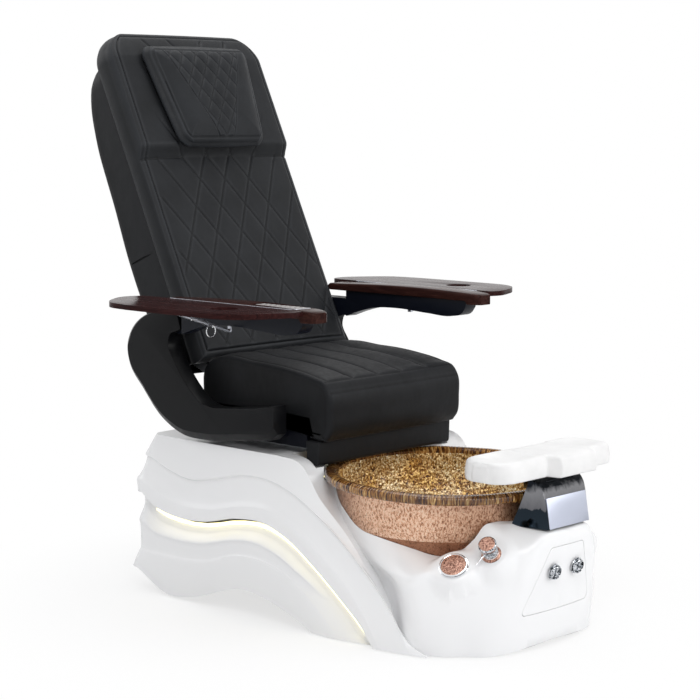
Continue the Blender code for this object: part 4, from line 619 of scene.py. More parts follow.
def rounded_outline(corners, radius, steps=8):
    """A convex outline with each corner rounded by an arc."""
    outline = []
    count = len(corners)
    for k, corner in enumerate(corners):
        here = Vector(corner)
        before = (Vector(corners[k - 1]) - here).normalized()
        after = (Vector(corners[(k + 1) % count]) - here).normalized()
        half = before.angle(after) / 2
        reach = radius / np.tan(half)
        start, end = here + before * reach, here + after * reach
        centre = here + (before + after).normalized() * (radius / sin(half))
        a0 = atan2(*(start - centre).yx)
        sweep = (atan2(*(end - centre).yx) - a0 + pi) % (2 * pi) - pi
        for step in range(steps + 1):
            angle = a0 + sweep * step / steps
            outline.append((centre.x + radius * cos(angle), centre.y + radius * sin(angle)))
    return outline


def clamp(x):
    """The nearest value from 0 to 1."""
    return min(1.0, max(0.0, x))


def band(a, b, x):
    """The value a share x of the way from a to b."""
    return a + (b - a) * x


def wire_loop(path, radius, sides):
    """A round wire along a closed path."""
    count = len(path)
    shape = bmesh.new()
    rows = []
    side = None
    for k, here in enumerate(path):
        run = (path[(k + 1) % count] - path[k - 1]).normalized()
        if side is None:
            side = run.orthogonal().normalized()
        side = (side - run * side.dot(run)).normalized()
        other = run.cross(side)
        rows.append([shape.verts.new(here + radius * (side * cos(2 * pi * j / sides)
                                                      + other * sin(2 * pi * j / sides)))
                     for j in range(sides)])
    for k in range(count):
        low, high = rows[k], rows[(k + 1) % count]
        for j in range(sides):
            n = (j + 1) % sides
            shape.faces.new((low[j], low[n], high[n], high[j]))
    bmesh.ops.recalc_face_normals(shape, faces=shape.faces)
    return shape


def stitches(paths, up, length=0.0050, pitch=0.0076, width=0.0011, proud=0.0003):
    """Thread stitches laid along paths on a face that looks along up."""
    up = Vector(up)
    shape = bmesh.new()
    for path in paths:
        points = [Vector(p) for p in path]
        marks = [0.0]
        for a, b in zip(points, points[1:]):
            marks.append(marks[-1] + (b - a).length)
        at = pitch / 2
        k = 0
        while at + length / 2 < marks[-1]:
            while marks[k + 1] < at:
                k += 1
            t = (at - marks[k]) / max(1e-9, marks[k + 1] - marks[k])
            here = points[k].lerp(points[k + 1], t)
            run = (points[k + 1] - points[k]).normalized()
            side = run.cross(up).normalized()
            ends = [shape.verts.new(here + run * (s * length / 2) + up * (proud - width * 0.6))
                    for s in (-1, 1)]
            mids = []
            for s in (-0.28, 0.28):
                centre = here + run * (s * length) + up * proud
                mids.append([shape.verts.new(centre + side * (width / 2 * cos(a))
                                             + up * (width / 2 * sin(a)))
                             for a in (0.0, pi / 3, 2 * pi / 3, pi, 3 * pi / 2)])
            for j in range(5):
                n = (j + 1) % 5
                shape.faces.new((mids[0][j], mids[0][n], mids[1][n], mids[1][j]))
                shape.faces.new((ends[0], mids[0][n], mids[0][j]))
                shape.faces.new((ends[1], mids[1][j], mids[1][n]))
            at += pitch
    bmesh.ops.recalc_face_normals(shape, faces=shape.faces)
    return shape


# ---------------------------------------------------------------- base shell
BASE_TOP_Z = 0.421
SKIRT_LIFT = 0.003
WALL = 0.007
POST_Y = -0.7165
MIXER_AT, MIXER_AXIS = Vector((-0.1835, -0.6905, 0.2450)), Vector((-0.68, -0.25, 0.69))
SPRAY_AT, SPRAY_AXIS, SPRAY_R = (Vector((-0.2475, -0.6300, 0.2180)), Vector((-0.58, -0.24, 0.78)),
                                 0.034)
MIXER_AXIS.normalize()
SPRAY_AXIS.normalize()
VALVE_AXIS = Vector((0.0, -1.0, -0.20)).normalized()


def valve_at(side):
    """Where a valve knob's axis meets the front."""
    return Vector((side * 0.044, -0.7645, 0.193))


def side_rows(inset, columns, corner_steps):
    """The plinth's control rows, from the floor edge up to the shoulder."""
    low, top = SKIRT_LIFT, BASE_TOP_Z
    width, rear = 0.332, 0.434
    led = [(0.392, 0.266), (0.345, 0.240), (0.256, 0.220), (0.151, 0.222), (0.019, 0.249),
           (-0.068, 0.252), (-0.153, 0.227), (-0.246, 0.172), (-0.341, 0.103), (-0.410, 0.047),
           (-0.447, low)]
    rows = [
        (width + 0.002, rear + 0.014, [(0.33, 0.060), (0.27, 0.006), (0.20, 0.014),
                                       (-0.012, 0.069), (-0.20, 0.026), (-0.258, low),
                                       (-0.30, low)]),
        (width - 0.003, rear - 0.010, [(0.296, 0.107), (0.147, 0.118), (0.015, 0.153),
                                       (-0.083, 0.151), (-0.182, 0.119), (-0.275, 0.058),
                                       (-0.340, low)]),
        (width - 0.021, rear - 0.012, [(y + 0.010, max(z - 0.034, low)) for y, z in led]),
        (width - 0.021, rear - 0.012, [(y, max(z - 0.003, low)) for y, z in led]),
        (width, rear - 0.008, [(y - 0.004, max(z, low)) for y, z in led]),
        (width - 0.001, rear - 0.004, [(y - 0.022, z + 0.035 * min(1, z / 0.1)) for y, z in led]),
        (width - 0.019, rear - 0.028, [(0.39, 0.364), (0.298, 0.340), (0.205, 0.323),
                                       (0.124, 0.335), (-0.003, 0.361), (-0.089, 0.359),
                                       (-0.163, 0.339), (-0.270, 0.285), (-0.396, 0.194),
                                       (-0.496, 0.094), (-0.550, low)]),
        (width - 0.032, rear - 0.050, [(0.25, top), (-0.10, top), (-0.175, top - 0.009),
                                       (-0.246, 0.332), (-0.340, 0.252), (-0.419, 0.164),
                                       (-0.541, 0.026), (-0.594, low)]),
        (width - 0.044, rear - 0.062, [(0.24, top), (-0.09, top), (-0.165, top - 0.012),
                                       (-0.236, 0.322), (-0.332, 0.240), (-0.411, 0.150),
                                       (-0.530, 0.020), (-0.590, low)]),
    ]
    result = []
    for index, (half, back, side) in enumerate(rows):
        half -= inset
        back -= inset
        radius = 0.042 - inset
        rear_z = side[0][1]
        plan = [(0.0, back + 0.006, rear_z), ((half - radius) * 0.6, back + 0.004, rear_z),
                (half - radius, back, rear_z)]
        for step in range(1, corner_steps):
            turn = pi / 2 * step / corner_steps
            plan.append((half - radius + radius * sin(turn), back - radius + radius * cos(turn),
                         rear_z))
        ease = 1.6 * inset if index else 0.0
        path = [(half, back - radius, rear_z)] + [(half, y + ease, z) for y, z in side[1:]]
        row = plan + smooth_path(path, columns)
        drop = inset if index > 5 else 0.0
        row = [(x, y, min(max(z, low), top) - drop) for x, y, z in row]
        if inset and index == 0:
            row = [(x, y, -0.03) for x, y, z in row]
        elif inset:
            row = [(x, y, z - 0.010) for x, y, z in row]
        result.append(row)
    return result


WAVE_FORM = (
    ((0.5, 0.4), (0.9, -1.5), (1.0, -3.0)),
    ((0.03, -5.0), (0.07, -6.2), (0.15, -6.6), (0.45, -6.6), (0.56, -6.2), (0.60, -5.0),
     (0.63, -4.2), (0.66, -4.5), (0.70, -6.2), (0.76, -9.2), (0.83, -13.5), (0.90, -17.5),
     (0.96, -20.0), (1.0, -21.0)),
    ((1.0, -21.0),),
    ((1.0, 0.0),),
    ((0.04, 0.2), (0.5, 0.0), (0.90, -0.1), (0.96, -0.4), (1.0, -1.0)),
    ((0.04, -2.6), (0.10, -5.6), (0.20, -9.3), (0.33, -12.6), (0.48, -15.3), (0.64, -17.3),
     (0.80, -18.6), (0.90, -19.2), (0.945, -18.8), (0.97, -17.0), (0.985, -15.0), (1.0, -13.8)),
    ((0.025, -13.0), (0.06, -13.0), (0.12, -14.0), (0.35, -18.6), (0.65, -24.6), (0.92, -30.4),
     (0.97, -31.2), (1.0, -32.2)),
    ((0.25, -34.0), (0.6, -38.2), (1.0, -44.0)))


def draped_rows():
    """Dense rows of the plinth: each wave is a lip, a hollow under it and a flare below.

    WAVE_FORM gives, between two control rows, the share of the height and how far the face
    stands out from the widest line, in millimetres.
    """
    control = np.array(side_rows(0.0, 150, 9))
    ahead = np.gradient(control[4][:, :2], axis=0)
    outward = np.stack([ahead[:, 1], -ahead[:, 0]], axis=1)
    outward /= np.linalg.norm(outward, axis=1)[:, None]
    outward *= np.sign(np.sum(outward * control[4][:, :2], axis=1))[:, None]
    corner = 10
    outward[corner + 2:] = (1.0, 0.0)
    flat = (2.0, -3.0, -21.0, -21.0, 0.0, -1.0, -19.0, -32.0, -44.0)
    rows = [control[0]]
    for index, steps in enumerate(WAVE_FORM):
        a, b = control[index], control[index + 1]
        room = np.clip((b[:, 2] - a[:, 2]) / 0.020, 0.0, 1.0)
        if index in (2, 3, 7):
            room[:] = 0.0
        for t, stand in steps:
            row = a + (b - a) * t
            extra = (stand - band(flat[index], flat[index + 1], t)) / 1000.0
            row[:, :2] += outward * (extra * room)[:, None]
            rows.append(row)
    grid = np.array(rows)
    grid[:, 0, 0] = 0.0
    grid[:, :, 2] = np.maximum(grid[:, :, 2], SKIRT_LIFT)
    return [[tuple(p) for p in row] for row in grid]


def nose_control(inset, columns):
    """The front body's control rows, from the floor up to the deck beside the bath."""
    low, front = SKIRT_LIFT, -0.774
    rows = [
        [(0.22, -0.20, low), (0.27, -0.40, low), (0.298, -0.54, low), (0.272, -0.615, low),
         (0.237, -0.652, low), (0.200, -0.693, low), (0.126, -0.724, 0.008),
         (0.05, front + 0.038, 0.020), (0.0, front + 0.036, 0.024)],
        [(0.22, -0.20, 0.10), (0.25, -0.36, 0.10), (0.268, -0.47, 0.10), (0.316, -0.575, 0.10),
         (0.285, -0.622, 0.10), (0.204, -0.706, 0.10), (0.188, -0.718, 0.10),
         (0.09, front + 0.036, 0.10), (0.0, front + 0.031, 0.10)],
        [(0.22, -0.20, 0.16), (0.245, -0.34, 0.16), (0.272, -0.45, 0.165),
         (0.322, -0.560, 0.165), (0.293, -0.597, 0.17), (0.160, -0.735, 0.18),
         (0.144, -0.750, 0.182), (0.08, front + 0.014, 0.185), (0.0, front + 0.012, 0.185)],
        [(0.22, -0.20, 0.30), (0.262, -0.30, 0.262), (0.282, -0.39, 0.212),
         (0.308, -0.50, 0.190), (0.308, -0.565, 0.196), (0.276, -0.607, 0.212),
         (0.200, -0.683, 0.236), (0.118, -0.762, 0.262), (0.084, -0.776, 0.288),
         (0.0, front - 0.007, 0.290)],
        [(0.20, -0.20, 0.385), (0.262, -0.288, 0.366), (0.264, -0.320, 0.324),
         (0.262, -0.38, 0.294), (0.254, -0.434, 0.270), (0.240, -0.500, 0.239),
         (0.219, -0.552, 0.221), (0.198, -0.591, 0.231), (0.172, -0.626, 0.268),
         (0.148, -0.648, 0.306), (0.118, -0.664, 0.303), (0.096, -0.682, 0.304),
         (0.0, -0.696, 0.314)],
    ]
    result = []
    for index, side in enumerate(rows):
        path = []
        for x, y, z in side:
            y += inset * (1.2 if y < -0.6 else 0.0)
            x -= inset if x > 0.01 else 0.0
            path.append((x, y, z - (inset if index > 2 else 0.0)))
        row = smooth_path(path, columns)
        row[-1] = (0.0, row[-1][1], row[-1][2])
        if inset and index == 0:
            row = [(x, y, -0.03) for x, y, z in row]
        result.append(row)
    return result


def nose_rows():
    """Dense rows of the front body, swelling up to the seats of the mixer and the spray."""
    control = np.array(nose_control(0.0, 170))
    rows = [control[0]]
    for index, steps in ((0, 4), (1, 6), (2, 14), (3, 24)):
        a, b = control[index], control[index + 1]
        for step in range(1, steps + 1):
            t = step / steps
            rows.append(a + (b - a) * t)
    grid = np.array(rows)
    for _ in range(22):
        mean = grid.copy()
        mean[1:-1] = (grid[:-2] + 2 * grid[1:-1] + grid[2:]) / 4
        mean[-2:] = grid[-2:]
        grid = (grid + mean) / 2
    for at, axis, radius in ((MIXER_AT, MIXER_AXIS, 0.030), (SPRAY_AT, SPRAY_AXIS, 0.039)):
        centre, up = np.array(at), np.array(axis)
        for side in (1, -1):
            rel = grid * (side, 1, 1) - centre
            height = rel @ up
            reach = np.linalg.norm(rel - height[..., None] * up, axis=-1)
            near = np.clip(1.0 - (reach - radius) / 0.034, 0.0, 1.0) * (np.abs(height) < 0.045)
            near = near * near * (3 - 2 * near)
            if side < 0:
                grid -= (near * height)[..., None] * (up * (-1, 1, 1))
    grid[:, -1, 0] = 0.0
    return [[tuple(p) for p in row] for row in grid]


def nose_inside():
    """The hollow in the front body."""
    return mirrored_solid(nose_control(WALL, 16))


def nose_tool():
    """The front body with a small gap round it."""
    return mirrored_solid([[(x, y - 0.0006, z + 0.0009) for x, y, z in row]
                           for row in nose_rows()])


def post_hole():
    """The hole that the footrest's post goes through."""
    return rod(0.0124, (0, POST_Y, 0.225), (0, POST_Y, 0.4385))


BOWL_CENTRE_Y = -0.400
BOWL_HALF = (0.318, 0.300)
BOWL_RIM_Z, BOWL_BOTTOM_Z = 0.3825, 0.1346
BOWL_SLOPE, BOWL_LIP, BOWL_WALL = 0.030, 0.028, 0.006
BOWL_FLOOR = band(BOWL_RIM_Z, BOWL_BOTTOM_Z, 0.96)


def bowl_ring(level, grow, steps, at_z=None):
    """One ring of the bath at a level from 0 (rim) to 1 (bottom), grown by a distance."""
    depth = BOWL_RIM_Z - BOWL_BOTTOM_Z
    swell = sqrt(1.0 - (min(1.0, max(level, 0.0) * 0.995)) ** 2.6)
    half_x = (BOWL_HALF[0] - BOWL_LIP) * swell ** 0.80 + grow
    half_y = (BOWL_HALF[1] - BOWL_LIP) * swell ** 0.80 + grow
    ring = []
    for k in range(steps):
        angle = 2 * pi * k / steps
        power = 2.0 if cos(angle) > 0 else 2.15
        x = half_x * np.sign(sin(angle)) * abs(sin(angle)) ** (2 / power)
        y = BOWL_CENTRE_Y + half_y * np.sign(cos(angle)) * abs(cos(angle)) ** (2 / power)
        slope = BOWL_SLOPE * (y - BOWL_CENTRE_Y) * (1.0 - level)
        z = BOWL_RIM_Z - depth * level + slope
        ring.append((x, y, z if at_z is None else at_z))
    return ring


def bowl_tool(grow, cap_up=True, steps=120):
    """The space that the bath takes."""
    levels = [0.09 + 0.87 * (k / 18) for k in range(19)]
    rings = [bowl_ring(level, grow, steps) for level in reversed(levels[1:])]
    rings.append(bowl_ring(0.092, grow, steps))
    rings.append(bowl_ring(0.092, grow + BOWL_LIP, steps))
    if cap_up:
        rings.append(bowl_ring(0.0, grow + BOWL_LIP, steps, BASE_TOP_Z + 0.05))
    else:
        rings.append(bowl_ring(-0.030, grow + BOWL_LIP, steps))
    return skin(rings)


def panel_prism(margin, y0, y1):
    """The access panel's outline, carried through the front."""
    corners = [(-0.132, 0.093), (0.132, 0.093), (0.062, 0.252), (-0.062, 0.252)]
    outline = [(x + margin * np.sign(x), z + margin * (1 if z > 0.2 else -1)) for x, z in corners]
    outline = rounded_outline(outline, 0.012)
    return skin([[(x, y0, z) for x, z in outline], [(x, y1, z) for x, z in outline]])


def seat_tool(at, axis, radius):
    """The flat that a round fitting stands on."""
    return turned([(radius, 0.0), (radius + 0.004, 0.030)], at + axis * 0.00015, axis, 64)


def build_base():
    """One closed shell: stepped plinth and front body, hollow below, and its access panel."""
    half = 0.250 + 0.0015
    tools = [
        (mirrored_solid(nose_rows()), "UNION"),
        seat_tool(MIXER_AT, MIXER_AXIS, 0.028),
        seat_tool(SPRAY_AT, SPRAY_AXIS, SPRAY_R + 0.003),
        mirrored_solid(side_rows(WALL, 20, 4)),
        nose_inside(),
        bowl_tool(0.0012),
        box(-half, half, -0.60, -0.100, 0.3935, BASE_TOP_Z + 0.05),
        panel_prism(0.0012, -0.90, -0.70),
        post_hole(),
        rod(0.0110, SPRAY_AT - SPRAY_AXIS * 0.060, SPRAY_AT + SPRAY_AXIS * 0.020),
    ]
    piece("base_body", mirrored_solid(draped_rows()), GELCOAT, "base", "base_shell", cuts=tools)
    panel_tools = [nose_inside(), (panel_prism(0.0, -0.90, -0.70), "INTERSECT")]
    for side in (-1, 1):
        spot = valve_at(side)
        panel_tools.append(rod(0.0064, spot - VALVE_AXIS * 0.03, spot + VALVE_AXIS * 0.02))
    piece("base_panel", mirrored_solid(nose_rows()), GELCOAT, "base", "front_access_panel",
          cuts=panel_tools, sharp=24)


# ---------------------------------------------------------------- bath
def build_bowl():
    """One closed bowl: gold foil inside, ribbed amber rim, rose copper outside."""
    steps, rib_pitch = 900, 0.0088
    outer_levels = [0.96 - 0.87 * (k / 24) for k in range(25)]
    inner_levels = [0.03 + 0.93 * (k / 44) ** 1.15 for k in range(45)]
    rings, zones = [], []
    for level in outer_levels:
        rings.append(bowl_ring(level, 0.0, steps))
        # The lower outer rings take the darker copper band of painted shade.
        zones.append(3 if level > 0.515 else 2)
    rim = [(0.086, 0.30), (0.088, 0.70), (0.082, 0.88), (0.066, 0.97), (0.045, 1.00),
           (0.024, 0.985), (0.008, 0.90), (-0.003, 0.75), (-0.009, 0.55), (-0.010, 0.35),
           (-0.006, 0.16), (0.003, 0.02), (0.016, -0.12)]
    for level, reach in rim:
        rings.append(bowl_ring(level, BOWL_LIP * reach, steps))
        zones.append(1)
    for level in inner_levels:
        ring = bowl_ring(level, -BOWL_WALL, steps)
        rings.append([(x, y, z + BOWL_WALL * min(1.0, 0.35 + level)) for x, y, z in ring])
        zones.append(1 if level < 0.045 else 0)
    around = [0.0]
    edge = rings[len(outer_levels) + 4]
    for a, b in zip(edge, edge[1:] + edge[:1]):
        around.append(around[-1] + hypot(a[0] - b[0], a[1] - b[1]))
    down = [0.0]
    for a, b in zip(rings, rings[1:]):
        down.append(down[-1] + max(0.0005, abs(a[0][1] - b[0][1]) + abs(a[0][2] - b[0][2])))
    first_rim = len(outer_levels)
    last_rim = first_rim + len(rim)
    shaped = []
    for r, ring in enumerate(rings):
        row = []
        for k, p in enumerate(ring):
            p = Vector(p)
            out = Vector((p.x, p.y - BOWL_CENTRE_Y, 0.0)).normalized()
            if first_rim <= r < last_rim - 1:
                drift = noise.noise(Vector((around[k] * 9.0, down[r] * 4.0, 3.0)))
                rib = sin(2 * pi * (around[k] / rib_pitch + 0.9 * drift))
                wobble = noise.noise(Vector((around[k] * 14.0, 7.0, 1.0)))
                p += (out + Vector((0, 0, 0.6))) * (0.0007 * rib * (0.7 + drift) + 0.0012 * wobble)
            elif r >= last_rim:
                amount = min(1.0, (r - last_rim) / 4.0)
                dent = noise.noise(p * 75.0) + 0.6 * noise.noise(p * 170.0)
                drift = noise.noise(Vector((around[k] * 9.0, p.z * 8.0, 9.0)))
                streak = sin(2 * pi * (around[k] / rib_pitch + 0.9 * drift))
                upper = clamp((0.24 - (BOWL_RIM_Z - p.z) / 0.237) / 0.10)
                p += (out + Vector((0, 0, -0.4))) * (0.0012 * dent * amount * (1 - 0.7 * upper)
                                                     + 0.0020 * streak * upper * amount)
            row.append(tuple(p))
        shaped.append(row)
    bowl = skin(shaped, zones=zones, uv=lambda r, k: (around[k], down[r]))
    hole = rod(0.0144, (0, BOWL_CENTRE_Y, BOWL_FLOOR - 0.02),
               (0, BOWL_CENTRE_Y, BOWL_FLOOR + 0.04))
    piece("bath_bowl", bowl, [GOLD_FOIL, AMBER_RIM, BATH_COPPER, COPPER_SHADE_BAND], "base", "foot_bowl",
          cuts=[hole], sharp=50)
    low = BOWL_FLOOR
    high = low + BOWL_WALL + 0.0008
    centre = (0.0, BOWL_CENTRE_Y, 0.0)
    dome = [(0.0, high + 0.0072), (0.008, high + 0.0070), (0.016, high + 0.0062),
            (0.022, high + 0.0048), (0.026, high + 0.0028), (0.028, high + 0.0012), (0.028, high),
            (0.014, high), (0.014, low - 0.001), (0.0, low - 0.001)]
    slots = []
    for k in range(10):
        angle = 2 * pi * k / 10
        spot = Vector((0.017 * cos(angle), BOWL_CENTRE_Y + 0.017 * sin(angle), high + 0.004))
        slots.append(rod(0.0019, spot, spot + Vector((0, 0, 0.01)), 10))
    piece("bath_strainer", turned(dome, centre, sides=48), CHROME, "base", "drain_strainer",
          cuts=slots)


# ---------------------------------------------------------------- spout and controls
def build_spout():
    """Chrome bridge over the bath's front edge: a bowed hood with a water slot and a plate."""
    top = 0.4140
    (foot_y, foot_z), (brow_y, brow_z) = (-0.7765, 0.2995), (-0.764, 0.371)
    side = smooth_path([(foot_y, foot_z), (-0.7705, 0.335), (brow_y, brow_z), (-0.7560, 0.394),
                        (-0.742, 0.408), (-0.722, top), (-0.690, top), (-0.664, top - 0.003),
                        (-0.648, top - 0.016), (-0.644, 0.370), (-0.646, 0.340),
                        (-0.652, 0.300)], 44)
    rings = []
    for k in range(27):
        t = -1 + 2 * k / 26
        ring = []
        for y, z in side:
            half = band(0.077, 0.106, clamp((y - foot_y) / (-0.652 - foot_y)))
            edge = 1.0 - abs(t) ** 14
            ring.append((half * t, y, z - 0.0012 * (1 - edge)))
        rings.append(ring)
    tools = [nose_tool(),
             post_hole(),
             box(-0.052, 0.052, -0.7475, -0.7445, 0.390, 0.430)]
    cheek = [(-0.727, 0.44), (-0.7205, 0.398), (-0.700, 0.344), (-0.683, 0.305), (-0.675, 0.27),
             (-0.60, 0.27), (-0.60, 0.44)]
    tools += [extrude_x(cheek, side * 0.048, side * 0.20) for side in (-1, 1)]
    tools.append(box(-0.2, 0.2, -0.6760, -0.50, 0.20, 0.50))
    tools.append(bowl_tool(0.0015, cap_up=False))
    piece("spout_hood", skin(rings), DARK_CHROME, "base", "waterfall_spout", cuts=tools,
          edge=0.0016, edge_angle=50, sharp=30)
    piece("spout_slot", box(-0.0515, 0.0515, -0.7470, -0.7450, 0.392, 0.4035), CHROME, "base")

    out = Vector((foot_z - brow_z, brow_y - foot_y)).normalized()
    half, tall = 0.076, 0.0726
    corners = [(-half, 0.0), (half, 0.0), (half, tall), (-half, tall)]
    rings = []
    for x_edge, lift in ((1.0, 0.0004), (1.0, 0.0026), (0.985, 0.0030)):
        ring = []
        for x, t in rounded_outline([(x * x_edge, t) for x, t in corners], 0.002, 4):
            ring.append((x, band(foot_y, brow_y, t / tall) + out.x * lift,
                         band(foot_z, brow_z, t / tall) + out.y * lift))
        rings.append(ring)
    piece("spout_plate", skin(rings), PLATE, "base", "spout_front_plate",
          cuts=[nose_tool()])


def build_mixer():
    """Copper and chrome ring, turning cup with a copper top, lever and two enamel dots."""
    at, axis = MIXER_AT, MIXER_AXIS
    ring = [(0.0, 0.0004), (0.0238, 0.0004), (0.0240, 0.0018), (0.0232, 0.0034), (0.0205, 0.0062),
            (0.0185, 0.0074), (0.0170, 0.0088), (0.0, 0.0090)]
    piece("mixer_ring", turned(ring, at, axis, 72, zones=[0, 0, 1, 1, 1, 0, 0]),
          [CHROME, CONTROL_COPPER], "base", "mixer_base")
    cup = [(0.0, 0.0095), (0.0182, 0.0095), (0.0190, 0.0110), (0.0186, 0.0150), (0.0176, 0.0215),
           (0.0174, 0.0275), (0.0184, 0.0320), (0.0204, 0.0375), (0.0215, 0.0405),
           (0.0218, 0.0430), (0.0214, 0.0450), (0.0202, 0.0464), (0.0191, 0.0468),
           (0.0182, 0.0474), (0.0080, 0.0480), (0.0, 0.0480)]
    zones = [0] * 12 + [1] * 3
    piece("mixer_cup", turned(cup, at, axis, 72, zones=zones), [KNOB_CHROME, CONTROL_COPPER],
          "mixer_knob", "mixer_knob")
    side = Vector((-0.731, 0.149, -0.667))
    side = (side - axis * side.dot(axis)).normalized()
    root = at + axis * 0.0245 + side * 0.0165
    run = (root + side * 0.034 + axis * 0.001) - root
    lever = [(0.0, 0.0006), (0.0022, 0.0006), (0.0024, 0.0030), (0.0017, 0.0060), (0.0016, 0.0240),
             (0.0019, 0.0290), (0.0021, 0.0325), (0.0016, 0.0342), (0.0, 0.0345)]
    piece("mixer_handle", turned(lever, root, run, 20), CHROME, "mixer_knob", "mixer_lever")
    across = axis.cross(side).normalized()
    for name, finish, sign in (("hot", RED_DOT, 1), ("cold", BLUE_DOT, -1)):
        spot = at + axis * 0.0389 + (side * 0.45 + across * 0.16 * sign).normalized() * 0.0209
        out = (spot - at - axis * 0.0389).normalized()
        dot = [(0.0, 0.0), (0.0014, 0.0), (0.0012, 0.0006), (0.0, 0.0009)]
        piece(f"mixer_dot_{name}", turned(dot, spot - out * 0.0002, out, 16), finish, "mixer_knob")


def build_spray():
    """Round pull-out spray: chrome rim, copper face with four petals, rubber nozzles."""
    at, axis, r = SPRAY_AT, SPRAY_AXIS, SPRAY_R
    socket = [(0.012, 0.0004), (r + 0.0015, 0.0004), (r + 0.0020, 0.0012), (r + 0.0012, 0.0025),
              (0.012, 0.0025), (0.012, 0.0004)]
    piece("spray_collar", turned(socket, at, axis, 80), CHROME, "base", "spray_socket")
    head = [(0.0, -0.024), (0.0085, -0.024), (0.0095, 0.0030), (r - 0.001, 0.0032), (r, 0.0044),
            (r, 0.0058), (r - 0.0012, 0.0068), (r - 0.0030, 0.0070), (r - 0.0042, 0.0064),
            (r - 0.0052, 0.0068), (0.0200, 0.0088), (0.0, 0.0098)]
    zones = [1] * 8 + [0] * 3
    turn = axis.to_track_quat("Z", "Y").to_matrix()
    petals = []
    for k in range(4):
        angle = pi / 4 + k * pi / 2
        leaf = []
        for j in range(28):
            a = 2 * pi * j / 28
            leaf.append(Matrix.Rotation(angle, 3, "Z") @ Vector((
                0.0095 * cos(a) + 0.0135, 0.0060 * sin(a) * (1.1 + 0.5 * cos(a)), 0.0)))
        petals.append(skin([[at + turn @ (p + Vector((0, 0, h))) for p in leaf]
                            for h in (0.0083, 0.02)]))
    piece("spray_face", turned(head, at, axis, 80, zones=zones), [CONTROL_COPPER, CHROME], "spray",
          "spray_head", cuts=petals, sharp=30)
    nozzles = []
    for ring_r, count in ((0.0, 1), (0.005, 6), (0.0215, 16)):
        for k in range(count):
            a = 2 * pi * k / count
            spot = at + turn @ Vector((ring_r * cos(a), ring_r * sin(a), 0.0082))
            nozzles.append(turned([(0.0, 0.0), (0.0008, 0.0), (0.0007, 0.0018), (0.0, 0.0020)],
                                  spot, axis, 8))
    piece("spray_nozzles", merged(nozzles), RUBBER, "spray")


def build_valves():
    """Two chrome valve knobs with a bow-tie grip, each in its bezel."""
    out = VALVE_AXIS
    for name, sign in (("right", -1), ("left", 1)):
        base = valve_at(sign)
        bezel = [(0.0, -0.020), (0.006, -0.020), (0.006, 0.0022), (0.0195, 0.0022),
                 (0.0202, 0.0028), (0.0196, 0.0040), (0.0185, 0.0042), (0.0, 0.0042)]
        piece(f"valve_ring_{name}", turned(bezel, base, out, 56), KNOB_CHROME, "base",
              f"valve_bezel_{name}")
        grip = [(0.0, 0.0046), (0.0176, 0.0046), (0.0180, 0.0056), (0.0176, 0.0104),
                (0.0168, 0.0118), (0.0150, 0.0130), (0.0120, 0.0124), (0.0, 0.0118)]
        tools = []
        turn = out.to_track_quat("Z", "Y").to_matrix()
        wing = [(0.0042, -0.0150), (0.0150, -0.0110), (0.0150, 0.0110), (0.0042, 0.0150)]
        for flip in (-1, 1):
            outline = [(flip * x, y) for x, y in wing]
            rings = [[base + turn @ Vector((x, y, h)) for x, y in outline]
                     for h in (0.0092, 0.0300)]
            tools.append(skin(rings))
        piece(f"valve_grip_{name}", turned(grip, base, out, 56), KNOB_CHROME, f"valve_knob_{name}",
              f"valve_knob_{name}", cuts=tools, edge=0.0008, segments=2)


# ---------------------------------------------------------------- footrest
def build_footrest():
    """Two soft lobes on either side of a raised middle that stands forward of them."""
    half, front_y, rear_y, thick, base = 0.2175, -0.785, -0.612, 0.052, 0.4185

    def swing(x, at, width):
        """A smooth step from 0 to 1 about a place."""
        t = clamp(0.5 + (x - at) / width)
        return t * t * (3 - 2 * t)

    xs = sorted(set(np.round(np.concatenate([
        half * np.sin(np.linspace(-pi / 2, pi / 2, 110)),
        np.linspace(-0.066, -0.028, 22), np.linspace(0.086, 0.116, 20)]), 5)))
    rings = []
    for k, x in enumerate(xs):
        u = abs(x) / half
        end = max(0.0, 1.0 - max(0.0, (u - 0.72) / 0.28) ** 2.8) ** 0.5
        middle = swing(x, -0.046, 0.018) * (1 - swing(x, 0.102, 0.016))
        crease = exp(-((x + 0.055) / 0.0045) ** 2) + exp(-((x - 0.110) / 0.0045) ** 2)
        front = band(rear_y - 0.086, front_y, 0.48 + 0.52 * end) + 0.028 * (1 - middle)
        front += 0.004 * crease
        back = band(rear_y - 0.086, rear_y, 0.48 + 0.52 * end) - 0.006 * middle
        height = thick * (0.88 + 0.12 * end)
        dish = 0.010 * sin(pi * clamp((u - 0.18) / 0.80)) * (1 - middle)
        dish -= 0.0015 * middle - 0.0022 * crease
        low, high = base - 0.0015 * middle, base + height
        section = np.array(smooth_path([
            (front + 0.010, low), (front + 0.002, low + 0.002), (front, low + 0.010),
            (front + 0.002, high - 0.016), (front + 0.005, high - 0.006),
            (front + 0.014, high - 0.0015), (front + 0.030, high - dish * 0.6),
            ((front + back) / 2, high - dish), (back - 0.030, high - dish * 0.6),
            (back - 0.014, high - 0.0015), (back - 0.005, high - 0.006),
            (back - 0.002, high - 0.016), (back, low + 0.010), (back - 0.002, low + 0.002),
            (back - 0.010, low)], 60))
        heart = np.array([(front + back) / 2, (low + high) / 2])
        rings.append([(x, y, z) for y, z in section])
        if k in (0, len(xs) - 1):
            tips = []
            for share, push in ((0.93, 0.0016), (0.80, 0.0026), (0.55, 0.0032)):
                shrunk = heart + (section - heart) * share
                tips.append([(x + np.sign(x) * push, y, z) for y, z in shrunk])
            rings = tips[::-1] + rings if k == 0 else rings + tips
    pad = piece("footrest_pad", skin(rings), PAD_WHITE, "footrest", "footrest", sharp=60)
    dress(CHROME, "footrest_post")
    dress(SATIN, "footrest_sleeve")


